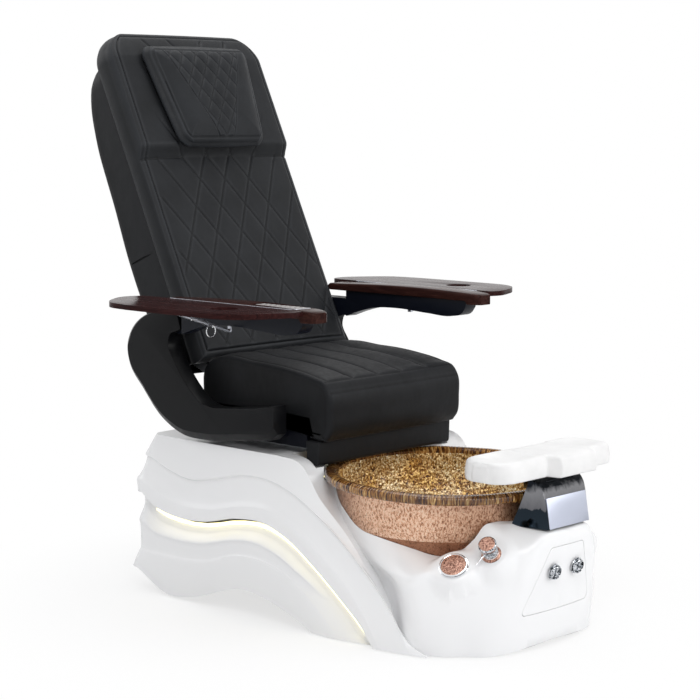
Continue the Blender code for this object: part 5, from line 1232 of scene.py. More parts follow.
# ---------------------------------------------------------------- backrest
BACK_HALF, BACK_LOW, BACK_TOP, BACK_CORNER = 0.270, 0.042, 0.975, 0.085
SHELL_HALF, SHELL_TOP = BACK_HALF - 0.006, 0.925
HEAD_LINE = 0.585
LAST_CROSS = 2.05
DIAMOND = (0.045, 0.077)
DIAMOND_AT = 0.538
SEAM_V, BACK_V = 0.028, -0.020
OUT_OF_BACK = (0.0, -1.0, 0.0)


def back_point(x, u, v):
    """A point of the backrest in its own frame."""
    return (x, -v, u)


def panel_half(u, top, half, radius):
    """Half width of a panel whose upper corners are round."""
    rise = max(0.0, u - (top - radius))
    return half - radius + sqrt(max(0.0, radius ** 2 - rise ** 2))


def diamond_gaps(x, u, size, at):
    """Distances to the nearest diagonal of each family, and the place counted across each."""
    wide, tall = size
    unit = sqrt(1 / wide ** 2 + 1 / tall ** 2)
    a = x / wide + (u - at) / tall
    b = x / wide - (u - at) / tall
    return abs(a - 2 * round(a / 2)) / unit, abs(b - 2 * round(b / 2)) / unit, a, b, unit


def diamond_seams(x, u):
    """Gaps to the back's diagonals, which stop at the lowest corners on either side."""
    da, db, a, b, unit = diamond_gaps(x, u, DIAMOND, DIAMOND_AT)
    if x > 0 and a > LAST_CROSS:
        da = max(0.0, a - 2.0) / unit
    if x < 0 and b < -LAST_CROSS:
        db = max(0.0, -2.0 - b) / unit
    return da, db


def head_swell(u):
    """How far the head part stands out over the quilted part."""
    rise = clamp((u - 0.600) / 0.040)
    fall = clamp((BACK_TOP - u) / 0.080)
    return 0.024 * (3 * rise ** 2 - 2 * rise ** 3) * sqrt(fall)


def back_front(x, u):
    """Height of the cushion's face over its side seam."""
    half = panel_half(u, BACK_TOP, BACK_HALF, BACK_CORNER)
    edge = max(0.0, min(half - abs(x), u - BACK_LOW, BACK_TOP - u))
    crown = 0.010 * (1 - exp(-edge / 0.014)) + 0.004 * (1 - (x / BACK_HALF) ** 2)
    welt = 0.0035 * exp(-((edge - 0.016) / 0.0022) ** 2)
    da, db = diamond_seams(x, u)
    inside = clamp((edge - 0.020) / 0.012)
    fade = 1.0 - clamp((u - HEAD_LINE) / 0.03) * clamp((abs(x) - 0.16) / 0.04)
    puff = 0.0052 * (1 - exp(-da / 0.0034)) * (1 - exp(-db / 0.0034))
    cross = 0.0030 * exp(-((u - 0.603) / 0.0025) ** 2) * (1.0 if abs(x) > 0.14 else 0.0)
    return SEAM_V + crown - welt + (puff - 0.0052) * inside * fade + 0.0035 - cross + head_swell(u)


def padded_sheet(us, xs_of, front, back_v, edge_v, draw_in, rounds=9):
    """A stuffed panel: a gridded front, bulging sides and a flat back."""
    shape = bmesh.new()
    grid = []
    for r, u in enumerate(us):
        line = []
        xs = xs_of(u)
        for c, x in enumerate(xs):
            edge = c in (0, len(xs) - 1) or r in (0, len(us) - 1)
            line.append(shape.verts.new(back_point(x, u, edge_v if edge else front(x, u))))
        grid.append(line)
    columns = len(grid[0]) - 1
    last = len(us) - 1
    for r in range(last):
        for c in range(columns):
            shape.faces.new((grid[r][c], grid[r][c + 1], grid[r + 1][c + 1], grid[r + 1][c]))
    loop = [(0, c) for c in range(columns + 1)]
    loop += [(r, columns) for r in range(1, last + 1)]
    loop += [(last, c) for c in range(columns - 1, -1, -1)]
    loop += [(r, 0) for r in range(last - 1, 0, -1)]
    border = [grid[r][c] for r, c in loop]
    middle_u = (us[0] + us[-1]) / 2
    previous = border
    for step in range(1, rounds + 1):
        t = step / rounds
        v = band(edge_v, back_v, t)
        bulge = draw_in * sin(pi * min(1.0, t * 1.02)) - draw_in * 0.8 * max(0.0, t - 0.8) / 0.2
        ring = []
        for vert in border:
            x, u = vert.co.x, vert.co.z
            size = max(1e-6, hypot(x, u - middle_u))
            keep = 1 + bulge / size
            ring.append(shape.verts.new(back_point(x * keep, middle_u + (u - middle_u) * keep, v)))
        for k in range(len(border)):
            n = (k + 1) % len(border)
            shape.faces.new((previous[k], previous[n], ring[n], ring[k]))
        previous = ring
    shape.faces.new(previous)
    bmesh.ops.recalc_face_normals(shape, faces=shape.faces)
    return shape


def sewn_runs(family_spots, front):
    """Unbroken stretches of seams; each seam is a list of (x, u, kept)."""
    runs = []
    for spots in family_spots:
        run = []
        for x, u, kept in spots:
            if kept:
                run.append(back_point(x, u, front(x, u)))
            elif len(run) > 2:
                runs.append(run)
                run = []
        if len(run) > 2:
            runs.append(run)
    return runs


def spaced(low, high, step):
    """Values from low to high, packed closer at both ends."""
    inner = np.arange(low + 0.02, high - 0.02, step)
    ends = np.array([0.0, 0.0008, 0.0018, 0.003, 0.005, 0.008, 0.012, 0.0145, 0.016, 0.0175])
    return np.concatenate([low + ends, inner, high - ends[::-1]])


def build_back_cushion():
    """Quilted back with a swollen head part, its diamonds sewn along the diagonals."""
    us = list(spaced(BACK_LOW, BACK_TOP - 0.001, 0.0030))
    shares = spaced(-BACK_HALF, BACK_HALF, 0.0030) / BACK_HALF

    def xs_of(u):
        half = panel_half(u, BACK_TOP, BACK_HALF, BACK_CORNER)
        return [half * s for s in shares]

    pad = padded_sheet(us, xs_of, back_front, BACK_V, SEAM_V, 0.004)
    made = piece("back_pad", pad, LEATHER, "backrest", "back_cushion", place=BACK, sharp=70)

    wide, tall = DIAMOND
    seams = []
    for family in (-1, 1):
        for index in range(-16, 17, 2):
            spots = []
            for step in range(int((BACK_TOP - BACK_LOW) / 0.004)):
                u = BACK_LOW + 0.022 + 0.004 * step
                x = wide * (index - family * (u - DIAMOND_AT) / tall)
                level = x / wide + family * (u - DIAMOND_AT) / tall
                blank = x * family > 0 and level * family > LAST_CROSS
                inside = abs(x) < BACK_HALF - 0.024 and u < BACK_TOP - 0.05
                plain = u > HEAD_LINE and abs(x) > 0.16
                spots.append((x, u, inside and not blank and not plain))
            seams.append(spots)
    paths = sewn_runs(seams, back_front)
    piece("back_stitching", stitches(paths, OUT_OF_BACK), THREAD, "backrest", place=BACK)
    edges = [[back_point(x, u, back_front(x, u) + 0.0004) for u in np.arange(0.07, 0.88, 0.006)]
             for x in (0.0160 - BACK_HALF, BACK_HALF - 0.0160)]
    piece("back_edge_stitching", stitches(edges, OUT_OF_BACK), THREAD, "backrest", place=BACK)


def shell_depth(u):
    """How far the rear cover reaches behind the cushion's middle plane."""
    knots = ((0.03, 0.122), (0.15, 0.148), (0.29, 0.160), (0.40, 0.160), (0.54, 0.149),
             (0.70, 0.144), (0.81, 0.124), (0.87, 0.096), (0.925, 0.050))
    return float(np.interp(u, [p[0] for p in knots], [p[1] for p in knots]))


def shell_rings(inset, first_u, last_u, front_v, count, fine):
    """Cross-sections of the rear cover; the coarse ones make its hollow."""
    us = np.linspace(first_u, last_u, count)
    depths = np.array([shell_depth(u) for u in us])
    for _ in range(6 if fine else 0):
        depths[1:-1] = (depths[:-2] + 2 * depths[1:-1] + depths[2:]) / 4
    rings = []
    for u, deep in zip(us, depths):
        half = panel_half(u, SHELL_TOP, SHELL_HALF, BACK_CORNER * 0.8) - inset
        depth = -(deep - inset)
        r = min(0.035, 0.6 * (BACK_V - depth))
        section = [(-half, front_v), (half, front_v)]
        steps = 8 if fine else 2
        for k in range(steps + 1):
            a = pi / 2 * k / steps
            section.append((half - r + r * cos(a), depth + r - r * sin(a)))
        section.append((0.0, depth - 0.004))
        for k in range(steps, -1, -1):
            a = pi / 2 * k / steps
            section.append((-half + r - r * cos(a), depth + r - r * sin(a)))
        rings.append([back_point(x, u, v) for x, v in section])
    return rings


def build_back_shell():
    """Hollow rear cover with a short slit in each side."""
    outer = skin(shell_rings(0.0, 0.046, SHELL_TOP, BACK_V - 0.0004, 60, True))
    hollow = skin(shell_rings(0.005, -0.004, 0.911, BACK_V + 0.02, 15, False))
    made = loose("back_rear_cover", outer, [SHELL_HIDE], BACK)
    cut(made, hollow, place=BACK)
    slit = []
    for step in range(15):
        t = step / 14
        wide = 0.0028 * sin(pi * min(1.0, 0.06 + 0.94 * t)) ** 0.6
        slit.append((band(0.3712, 0.3656, t), band(-0.1318, -0.0453, t), wide))
    outline = [(u - w, v) for u, v, w in slit] + [(u + w, v) for u, v, w in slit[::-1]]
    for sign in (-1, 1):
        cut(made, skin([[back_point(sign * x, u, v) for u, v in outline]
                        for x in (SHELL_HALF - 0.0030, SHELL_HALF + 0.004)]), place=BACK)
    finish_mesh(made, 34)
    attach(made, "backrest")
    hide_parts("back_shell")


def build_pillow():
    """Head pillow: a trapezoid of small diamonds on a welted, stuffed pad."""
    low, high, corner = 0.624, 0.909, 0.035
    base_v, thick = 0.0685, 0.045
    size, start = (0.0235, 0.0345), 0.640

    def half_width(u):
        """Half the pillow's width at a height; it narrows downwards."""
        along = (u - low) / (high - low)
        wide = band(0.145, 0.185, along)
        under = max(0.0, corner - (u - low))
        over = max(0.0, corner - (high - u))
        return wide - (corner - sqrt(max(0.0, corner ** 2 - max(under, over) ** 2)))

    def quilt_half(u):
        """Half width of the inverted trapezoid of small diamonds."""
        return band(0.020, 0.142, (u - low) / (high - low))

    def front(x, u):
        """Height of the pillow's face."""
        edge = max(0.0, min(half_width(u) - abs(x), u - low, high - u))
        swell = 1 - exp(-edge / 0.020)
        welt = 0.0028 * exp(-((edge - 0.013) / 0.0018) ** 2)
        inside = quilt_half(u) - abs(x)
        da, db = diamond_gaps(x, u, size, start)[:2]
        keep = clamp(inside / 0.004) * clamp((edge - 0.014) / 0.004)
        puff = 0.0040 * (1 - exp(-da / 0.0045)) * (1 - exp(-db / 0.0045))
        border = 0.0022 * exp(-(inside / 0.0016) ** 2) * (1.0 if edge > 0.014 else 0.0)
        return base_v + thick * (0.50 + 0.50 * swell) - welt + (puff - 0.0018) * keep - border

    us = list(spaced(low + 0.001, high - 0.001, 0.0017))
    shares = spaced(-0.185, 0.185, 0.0018) / 0.185

    def xs_of(u):
        return [half_width(u) * s for s in shares]

    pad = padded_sheet(us, xs_of, front, base_v, base_v + thick * 0.50, 0.010, 12)
    made = piece("pillow_pad", pad, PILLOW_HIDE, "pillow", "head_pillow", place=BACK, sharp=70)
    heights = [low + 0.003 * step for step in range(int((high - low) / 0.003))]
    seams = []
    for family in (-1, 1):
        for index in range(-24, 25, 2):
            spots = []
            for u in heights:
                x = size[0] * (index - family * (u - start) / size[1])
                edge = min(half_width(u) - abs(x), u - low, high - u)
                spots.append((x, u, quilt_half(u) - abs(x) > 0.001 and edge > 0.016))
            seams.append(spots)
    paths = sewn_runs(seams, front)
    for sign in (-1, 1):
        path = []
        for u in heights:
            x = sign * quilt_half(u)
            if min(u - low, high - u) > 0.016:
                path.append(back_point(x, u, front(x, u)))
        paths.append(path)
    piece("pillow_stitching", stitches(paths, OUT_OF_BACK, 0.0034, 0.0052, 0.0008),
          THREAD, "pillow", place=BACK)


# ---------------------------------------------------------------- seat
SEAT_SEAMS = (-0.232, -0.138, -0.045, 0.045, 0.138, 0.232)
SEAT_HALF, SEAT_FRONT, SEAT_REAR = 0.250, -0.230, 0.234
SEAT_TOP, SEAT_NOSE, SEAT_BOTTOM, SEAT_LIP = 0.640, 0.605, 0.500, 0.461


def seat_profile(count):
    """Outline of the cushion from the side, from its rear over the top to its underside."""
    nose = SEAT_FRONT
    section = smooth_path([(SEAT_REAR - 0.004, SEAT_BOTTOM + 0.006), (SEAT_REAR + 0.001, 0.560),
                           (SEAT_REAR - 0.001, SEAT_TOP - 0.048),
                           (SEAT_REAR - 0.010, SEAT_TOP - 0.027),
                           (SEAT_REAR - 0.030, SEAT_TOP - 0.012),
                           (SEAT_REAR - 0.056, SEAT_TOP - 0.001), (0.040, SEAT_TOP),
                           (-0.080, SEAT_TOP - 0.007), (nose + 0.060, SEAT_NOSE + 0.014),
                           (nose + 0.018, SEAT_NOSE + 0.001), (nose + 0.001, SEAT_NOSE - 0.024),
                           (nose - 0.002, 0.530), (nose + 0.004, SEAT_LIP + 0.018),
                           (nose + 0.018, SEAT_LIP)], count)
    under = smooth_path([(nose + 0.018, SEAT_LIP), (nose + 0.050, SEAT_LIP - 0.0002),
                         (-0.158, SEAT_LIP + 0.003)], 8)
    profile = section + under[1:]
    profile += [(-0.152, SEAT_BOTTOM), (-0.10, SEAT_BOTTOM), (0.02, SEAT_BOTTOM),
                (0.10, SEAT_BOTTOM), (SEAT_REAR - 0.012, SEAT_BOTTOM)]
    return np.array(profile)


def build_seat():
    """Seat cushion: sewn channels on top, a double seam along the front's upper edge."""
    loop = seat_profile(190)
    ahead = np.roll(loop, -1, axis=0) - np.roll(loop, 1, axis=0)
    normal = np.stack([-ahead[:, 1], ahead[:, 0]], axis=1)
    normal /= np.linalg.norm(normal, axis=1)[:, None]
    middle = loop.mean(axis=0)
    if np.sum((middle - loop) * normal) < 0:
        normal = -normal
    edge = SEAT_HALF
    soft = 0.015
    turns = [pi / 2 * k / 9 for k in range(1, 10)]
    ends = [(edge - soft + soft * sin(a), soft * (1 - cos(a))) for a in turns]
    ends.append((edge + 0.0010, soft + 0.0045))
    xs = sorted(set(np.round(np.arange(0.0, edge - soft, 0.0026), 5)))
    half = [(x, 0.0) for x in xs] + ends
    full = [(-x, inset) for x, inset in half[:0:-1]] + half
    rings = []
    for x, inset in full:
        moved = loop + normal * inset
        dip = sum(0.0060 * exp(-abs(x - seam) / 0.0050) for seam in SEAT_SEAMS[1:-1])
        dip += sum(0.0032 * exp(-abs(x - seam) / 0.0030) for seam in SEAT_SEAMS[::5])
        gap = min(abs(x - seam) for seam in SEAT_SEAMS)
        puff = 0.0030 * (1 - exp(-gap / 0.018)) if abs(x) < 0.232 else 0.0
        ring = []
        for j, (y, z) in enumerate(moved):
            base_y, base_z = loop[j]
            on_top = clamp((base_z - 0.590) / 0.020)
            past = clamp((base_y - (SEAT_FRONT + 0.022)) / 0.012)
            weight = on_top * past
            seam_1 = exp(-((base_y - (SEAT_FRONT + 0.0235)) / 0.0018) ** 2) * on_top
            seam_2 = exp(-(base_z - 0.5830) ** 2 / 0.0018 ** 2) * (base_y < -0.2)
            hem = 0.0024 * (seam_1 + seam_2) * (abs(x) < 0.242)
            cheek = 0.0030 * sin(pi * clamp((base_z - 0.48) / 0.10)) * (base_y < -0.2)
            sag = noise.noise(Vector((x * 7.0, y * 7.0, z * 7.0))) * 0.0016
            y2 = y + normal[j][0] * (hem - cheek * (1 - (x / edge) ** 2) - sag)
            z2 = z + normal[j][1] * (hem - sag) - (dip - puff) * weight
            ring.append((x, y2, z2))
        rings.append(ring)
    lugs = [box(-0.2265, 0.2265, 0.1865, 0.30, 0.40, 0.70)]
    pad = piece("seat_pad", skin(rings), SEAT_HIDE, "carriage", "seat_cushion", cuts=lugs,
                sharp=70)

    def top_z(y):
        """Height of the cushion's top at its middle."""
        upper = loop[loop[:, 1] > 0.585]
        order = np.argsort(upper[:, 0])
        return float(np.interp(y, upper[order, 0], upper[order, 1]))

    paths = [[(seam, y, top_z(y) - 0.0056) for y in np.arange(SEAT_FRONT + 0.030, 0.156, 0.005)]
             for seam in SEAT_SEAMS[1:-1]]
    piece("seat_stitching", stitches(paths, (0.0, 0.0, 1.0)), THREAD, "carriage")

    low, high, front, rear = 0.3975, SEAT_LIP - 0.002, -0.194, -0.1484
    outline = [(front, high), (front + 0.002, low + 0.006), (front + 0.008, low), (rear, low),
               (rear, high)]
    piece("seat_valance", extrude_x(outline, -SEAT_HALF, SEAT_HALF), SHELL_HIDE, "carriage",
          "seat_skirt", edge=0.004, segments=4, sharp=60)


# ---------------------------------------------------------------- side frames, arms, trays
INNER_X = 0.283
OUTER_X = 0.329
ARM_Y, ARM_Z = 0.315, 0.722
BEAM_X, BEAM_TOP_Z = 0.286, 0.7735
PIN_RADIUS = 0.0064


def frame_outline(chamfer):
    """The C of a side frame from the side; chamfer draws its outer edge in."""
    inner = smooth_path([(-0.050, 0.537), (0.054, 0.526), (0.112, 0.5225), (0.150, 0.531),
                         (0.198, 0.565), (0.255, 0.634), (0.276, 0.672), (0.268, 0.698),
                         (0.240, 0.709)], 60)
    outer = np.array(smooth_path([(0.330, 0.752), (0.385, 0.738), (0.438, 0.697), (0.457, 0.650),
                                  (0.448, 0.606), (0.392, 0.541), (0.318, 0.472), (0.238, 0.437),
                                  (0.143, 0.4325), (0.0, 0.4470)], 64))
    ahead = np.gradient(outer, axis=0)
    ahead /= np.linalg.norm(ahead, axis=1)[:, None]
    fade = np.clip(np.arange(len(outer)) / 12.0, 0.0, 1.0)[:, None]
    outer = outer + chamfer * fade * np.stack([ahead[:, 1], -ahead[:, 0]], axis=1)
    front, low = -0.114, 0.463
    return ([(front, 0.549)] + inner + [(0.2265, 0.7150), (0.2385, 0.752)]
            + [tuple(p) for p in outer] + [(front + 0.024, low + chamfer * 0.9 - 0.004),
                                           (front, low + chamfer + 0.014)])


def build_side(side, name):
    """One side frame with its pivot bolt, arm beam, cap and tray; side is -1 or 1."""
    body = f"arm_{name}"
    sections = ((INNER_X, 0.0), (OUTER_X - 0.016, 0.0), (OUTER_X, 0.020))
    rings = [[(side * x, y, z) for y, z in frame_outline(chamfer)] for x, chamfer in sections]
    room = 0.0315
    recess = [(0.18, ARM_Z - room), (ARM_Y, ARM_Z - room)] + arc(ARM_Y, ARM_Z, room, -60, 0, 16)
    recess += [(ARM_Y + room, 0.80), (0.18, 0.80)]
    bolt_end = side * (OUTER_X - 0.0096)
    tools = [extrude_x(recess, side * (INNER_X - 0.05), side * 0.304),
             rod(PIN_RADIUS, (side * 0.25, ARM_Y, ARM_Z), (bolt_end, ARM_Y, ARM_Z))]
    piece(f"side_arch_{name}", skin(rings), FRAME_PAINT, "carriage", f"side_frame_{name}",
          cuts=tools, edge=0.0022, segments=4, edge_angle=28, sharp=30)
    head = BEAM_X - 0.0004
    bolt = [(0.0, head - 0.004), (0.0105, head - 0.004), (0.0120, head - 0.0028), (0.0128, head),
            (0.006, head), (0.006, OUTER_X - 0.010), (0.0, OUTER_X - 0.010)]
    piece(f"arm_bolt_{name}", turned(bolt, (0, ARM_Y, ARM_Z), (side, 0, 0), 48), CHROME,
          "carriage", f"arm_pivot_bolt_{name}")

    beam = smooth_path([(-0.214, 0.756), (-0.200, 0.738), (-0.165, 0.7295), (-0.080, 0.7315),
                        (0.030, 0.7370), (0.110, 0.7330), (0.175, 0.7180), (0.222, 0.7020)], 50)
    outline = [(-0.216, BEAM_TOP_Z)] + beam + [(0.222, BEAM_TOP_Z)]
    eye = [(0.202, 0.708), (ARM_Y - 0.030, ARM_Z - 0.028)] + arc(ARM_Y, ARM_Z, 0.030, -90, 90, 28)
    eye += [(0.202, ARM_Z + 0.030)]
    tools = [(extrude_x(eye, side * BEAM_X, side * 0.3025), "UNION"),
             rod(PIN_RADIUS, (side * 0.25, ARM_Y, ARM_Z), (side * 0.36, ARM_Y, ARM_Z))]
    piece(f"arm_beam_{name}", extrude_x(outline, side * BEAM_X, side * 0.3285), NAVY, body,
          f"arm_body_{name}", cuts=tools, edge=0.0030, segments=4, sharp=30)
    build_cap(side, name, body)
    build_tray(side, name)


def build_cap(side, name, body):
    """Lacquered cap: crowned across, arched along, with a rounded nose and a lower lip."""
    inner, outer, front, rear = 0.276, 0.346, -0.262, 0.285
    rings = []
    low = BEAM_TOP_Z + 0.0004
    centre = (inner + outer) / 2
    for k in range(90):
        along = k / 89
        y = band(front, rear, along)
        nose = sqrt(max(0.0, 1.0 - max(0.0, (0.10 - along) / 0.10) ** 2))
        tail = sqrt(max(0.0, 1.0 - max(0.0, (along - 0.985) / 0.015) ** 2))
        half = (outer - inner) / 2 * (0.55 + 0.45 * nose) - 0.002 * (1 - tail)
        arch = 0.007 * sin(pi * min(1.0, along + 0.05)) - 0.0021
        high = low + 0.020 + arch - 0.004 * (1 - nose) - 0.003 * (1 - tail)
        section = []
        drop = clamp((-0.2185 - y) / 0.003)
        foot = low - 0.0095 * drop * (3 - 2 * drop) * drop
        for cx, cz, r, a0 in ((half, foot, 0.003, -90), (half, high, 0.0065, 0),
                              (-half, high, 0.0065, 90), (-half, foot, 0.003, 180)):
            sx, sz = (1 if cx > 0 else -1), (-1 if cz == high else 1)
            for step in range(7):
                a = radians(a0 + 90 * step / 6)
                section.append((centre + cx - sx * r + r * cos(a), cz + sz * r + r * sin(a)))
        crown = []
        for x, z in section:
            share = 1 - ((x - centre) / half) ** 2
            crown.append((x, z + (0.0016 * share if z > high - 0.004 else 0.0)))
        rings.append([(side * x, y, z) for x, z in crown])
    bed = [box(-0.3384, -0.2836, -0.2054, -0.0396, 0.7891, 0.84)] if side < 0 else []
    piece(f"arm_top_{name}", skin(rings), CAP_WOOD, body, f"arm_cap_{name}", cuts=bed, sharp=32)
    if side < 0:
        build_keypad(body)


def build_keypad(body):
    """Bare silver strip with a row of soft keys, let into the near cap."""
    outline = rounded_outline([(-0.338, -0.205), (-0.284, -0.205), (-0.284, -0.040),
                               (-0.338, -0.040)], 0.006, 6)
    piece("key_strip", extrude_z(outline, 0.789, 0.796), SATIN, body, "keypad", edge=0.0012)
    glass = rounded_outline([(-0.333, -0.200), (-0.289, -0.200), (-0.289, -0.045),
                             (-0.333, -0.045)], 0.004, 6)
    piece("key_window", extrude_z(glass, 0.7952, 0.7966), KEY_GLASS, body, edge=0.0004, segments=2)
    keys = []
    for row in range(9):
        for column in range(2):
            x, y = -0.3205 + 0.0190 * column, -0.190 + 0.0170 * row
            face = rounded_outline([(x + i * 0.0062, y + j * 0.0046) for i, j in (
                (-1, -1), (1, -1), (1, 1), (-1, 1))], 0.0030, 5)
            keys.append(skin([[(x + (px - x) * size, y + (py - y) * size, z) for px, py in face]
                              for size, z in ((1.0, 0.7962), (1.0, 0.7972), (0.9, 0.7975))]))
    piece("key_buttons", merged(keys), KEY_MARK, body)


def tray_outline():
    """The tray from above, with its inner edge along the cap."""
    inner, wide = 0.3505, 0.5455
    rear = smooth_path([(inner, 0.300), (inner + 0.014, 0.343), (inner + 0.055, 0.356),
                        (inner + 0.118, 0.326), (wide - 0.016, 0.262), (wide - 0.002, 0.190)], 46)
    side = smooth_path([(wide - 0.002, 0.190), (wide, 0.05), (wide, -0.085)], 12)
    front = smooth_path([(wide, -0.085), (wide - 0.006, -0.140), (wide - 0.036, -0.192),
                         (inner + 0.085, -0.236), (inner + 0.032, -0.250), (inner, -0.240)], 44)
    return rear + side[1:-1] + front


def build_tray(side, name):
    """Lacquered tray with a rounded edge and a bored cup hole."""
    leaf = f"tray_{name}"
    high, low = 0.7960, 0.7830
    hinge = (side * 0.3495, 0.7945)
    cup = (side * 0.440, -0.060)
    tools = [rod(0.0035, (hinge[0], -0.5, hinge[1]), (hinge[0], 0.5, hinge[1])),
             rod(0.034, (*cup, low - 0.02), (*cup, high + 0.02), 72)]
    board = extrude_z([(side * x, y) for x, y in tray_outline()], low, high)
    piece(f"tray_leaf_{name}", board, WOOD, leaf, f"tray_{name}", cuts=tools, edge=0.0034,
          segments=4, edge_angle=50, sharp=32)
    dress(SATIN, f"tray_hinge_pin_{name}")

    head, foot = Vector((0.514, low - 0.0004)), Vector((0.3370, 0.7230))
    thick, stay_y = 0.0042, 0.030
    strip = [head, Vector((head.x - 0.045, head.y)), Vector((head.x - 0.045, head.y - thick)),
             foot + Vector((0.006, thick)), foot + Vector((0.003, thick * 2)),
             foot + Vector((0.003, 0.016)), foot + Vector((0.0, 0.016)), foot,
             foot + Vector((0.006, 0.0)), Vector((head.x - 0.008, head.y - thick * 1.5)),
             Vector((head.x, head.y - thick))]
    rings = [[(side * p.x, stay_y + edge, p.y) for p in strip]
             for edge in (-0.0060, -0.0042, 0.0042, 0.0060)]
    piece(f"tray_prop_{name}", skin(rings), SATIN, leaf, f"tray_stay_{name}", edge=0.0009,
          segments=2)
    for index, x in enumerate((0.470, 0.400)):
        along = (head.x - x) / (head.x - foot.x)
        spot = Vector((side * x, stay_y - 0.0062, head.y + (foot.y - head.y) * along - 0.0022))
        cap = [(0.0, 0.0), (0.0032, 0.0), (0.0030, 0.0010), (0.0018, 0.0018), (0.0, 0.0021)]
        piece(f"tray_rivet_{name}_{index}", turned(cap, spot, (0, -1, 0), 24), CHROME, leaf)
    if side < 0:
        build_ring()


def build_ring():
    """The pull ring, a closed wire where its joint's solid is."""
    lo, hi = (Vector(p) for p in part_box("tray_pull_ring"))
    middle = (lo + hi) / 2
    wire = 0.0012
    radius = (hi.x - lo.x) / 2 - wire
    path = [middle + Vector((radius * cos(2 * pi * k / 72), 0.0, radius * sin(2 * pi * k / 72)))
            for k in range(72)]
    piece("pull_ring_wire", wire_loop(path, wire, 12), CHROME, "pull_ring",
          "tray_pull_ring", place=Matrix.Identity(4))


# ---------------------------------------------------------------- stage
def build_camera():
    """The photograph's camera, solved from the chair's straight edges."""
    azimuth, pitch, distance = radians(-46.6425), radians(7.047), 4.9
    target = Vector((-0.0192, -0.0819 + SHIFT_Y, 0.6588))
    right = Vector((cos(azimuth), sin(azimuth), 0.0))
    back = Vector((sin(azimuth) * cos(pitch), -cos(azimuth) * cos(pitch), sin(pitch)))
    up = back.cross(right)
    data = bpy.data.cameras.new("camera")
    data.sensor_width = 36.0
    data.sensor_fit = "HORIZONTAL"
    data.lens = 1896.0514 / 700.0 * data.sensor_width
    camera = bpy.data.objects.new("camera", data)
    turn = Matrix((right, up, back)).transposed()
    camera.matrix_world = Matrix.Translation(target + back * distance) @ turn.to_4x4()
    bpy.context.collection.objects.link(camera)
    bpy.context.scene.camera = camera


def build_world():
    """Pure white where it is seen or mirrored, a soft fill where it lights."""
    world = bpy.data.worlds.new("studio")
    bpy.context.scene.world = world
    world.use_nodes = True
    tree = world.node_tree
    tree.nodes.clear()
    link = tree.links.new
    rays = new_node(tree, "ShaderNodeLightPath").outputs
    seen = rays["Is Camera Ray"]
    for kind in ("Is Glossy Ray", "Is Transmission Ray"):
        either = new_node(tree, "ShaderNodeMath", operation="MAXIMUM")
        link(seen, either.inputs[0])
        link(rays[kind], either.inputs[1])
        seen = either.outputs[0]
    fill = new_node(tree, "ShaderNodeBackground",
                    {"Color": (0.97, 0.98, 1.0, 1.0), "Strength": 0.52})
    plain = new_node(tree, "ShaderNodeBackground",
                     {"Color": (1.0, 1.0, 1.0, 1.0), "Strength": 1.0})
    mix = new_node(tree, "ShaderNodeMixShader")
    out = new_node(tree, "ShaderNodeOutputWorld")
    for socket, source in zip(mix.inputs, (seen, fill.outputs[0], plain.outputs[0])):
        link(source, socket)
    link(mix.outputs[0], out.inputs[0])


LAMPS = (("key", (-2.6, -3.0, 3.6), 2.2, 74.0), ("side", (1.6, -3.6, 1.9), 2.4, 46.0),
         ("top", (0.2, 0.4, 4.2), 2.6, 50.0), ("rear", (-1.5, 3.4, 2.6), 2.2, 26.0))


def build_lamps():
    """Large soft lamps; each row is a name, a place, a size and a power."""
    for name, at, size, power in LAMPS:
        lamp = bpy.data.lights.new(name, "AREA")
        lamp.energy = power
        lamp.size = size
        holder = bpy.data.objects.new(name, lamp)
        holder.location = at
        aim = Vector((0.0, -0.1, 0.55)) - Vector(at)
        holder.rotation_euler = aim.to_track_quat("-Z", "Y").to_euler()
        bpy.context.collection.objects.link(holder)


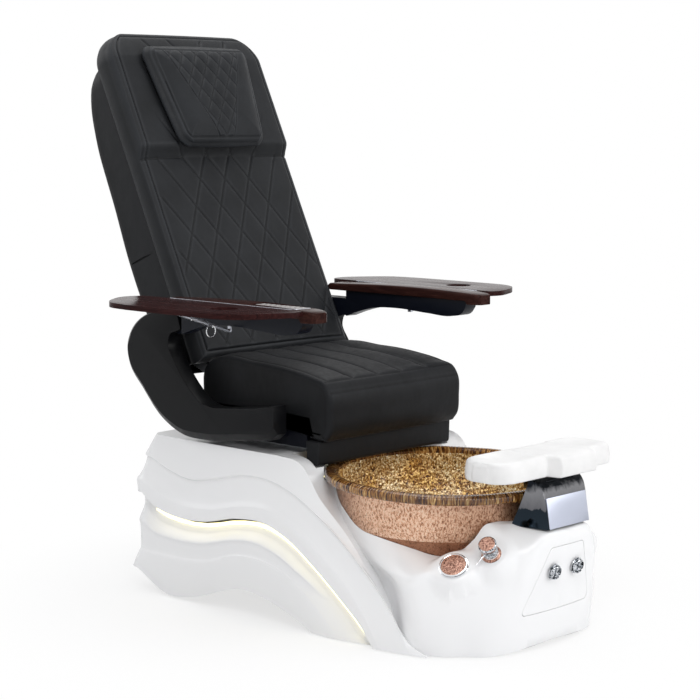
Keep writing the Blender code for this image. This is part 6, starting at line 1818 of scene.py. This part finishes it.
def build_floor():
    """Plain pale floor that shows the chair's shadow and turns white further out."""
    ground = loose("floor", box(-9, 9, -9, 9, -0.02, 0.0), [], Matrix.Identity(4))
    paint = bpy.data.materials.new("floor_paint")
    paint.use_nodes = True
    tree = paint.node_tree
    link = tree.links.new
    shader = tree.nodes["Principled BSDF"]
    shader.inputs["Base Color"].default_value = (0.90, 0.90, 0.90, 1.0)
    shader.inputs["Roughness"].default_value = 0.75
    spot = new_node(tree, "ShaderNodeTexCoord")
    size = new_node(tree, "ShaderNodeVectorMath", operation="LENGTH")
    link(spot.outputs["Object"], size.inputs[0])
    near = new_node(tree, "ShaderNodeMapRange", {"From Min": 0.35, "From Max": 1.15,
                                                 "To Min": 0.70, "To Max": 1.0},
                    interpolation_type="SMOOTHSTEP")
    link(size.outputs["Value"], near.inputs["Value"])
    rays = new_node(tree, "ShaderNodeLightPath")
    gate = new_node(tree, "ShaderNodeMath", operation="MULTIPLY")
    link(near.outputs["Result"], gate.inputs[0])
    link(rays.outputs["Is Camera Ray"], gate.inputs[1])
    white = new_node(tree, "ShaderNodeEmission", {"Strength": 1.0})
    mix = new_node(tree, "ShaderNodeMixShader")
    for index, source in enumerate((gate, shader, white)):
        link(source.outputs[0], mix.inputs[index])
    link(mix.outputs[0], tree.nodes["Material Output"].inputs[0])
    ground.data.materials.append(paint)


def build_stage():
    """Pale floor, soft studio light and the photograph's camera."""
    bpy.context.scene.view_settings.view_transform = "Standard"
    build_camera()
    build_world()
    build_lamps()
    build_floor()


def dress_hidden_works():
    """Materials of the CAD pieces that keep their own shape."""
    dress(GREY, "drain_pump", "control_box", "massage_carriage", "kneading_wheel_left",
          "kneading_wheel_right")
    dress(STEEL, "floor_frame", "slide_rail_left", "slide_rail_right", "recline_motor",
          "back_frame")
    dress(SATIN, "slide_runner_left", "slide_runner_right")
    dress(RUBBER, *(f"levelling_foot_{number}" for number in (1, 2, 3, 4)))
    dress(PAN_NAVY, "seat_pan")
    dress(GLOW, "led_strip_left", "led_strip_right")


build_stage()
build_base()
build_bowl()
build_spout()
build_mixer()
build_spray()
build_valves()
build_footrest()
build_back_cushion()
build_back_shell()
build_pillow()
build_seat()
for side, name in ((-1, "right"), (1, "left")):
    build_side(side, name)
dress_hidden_works()
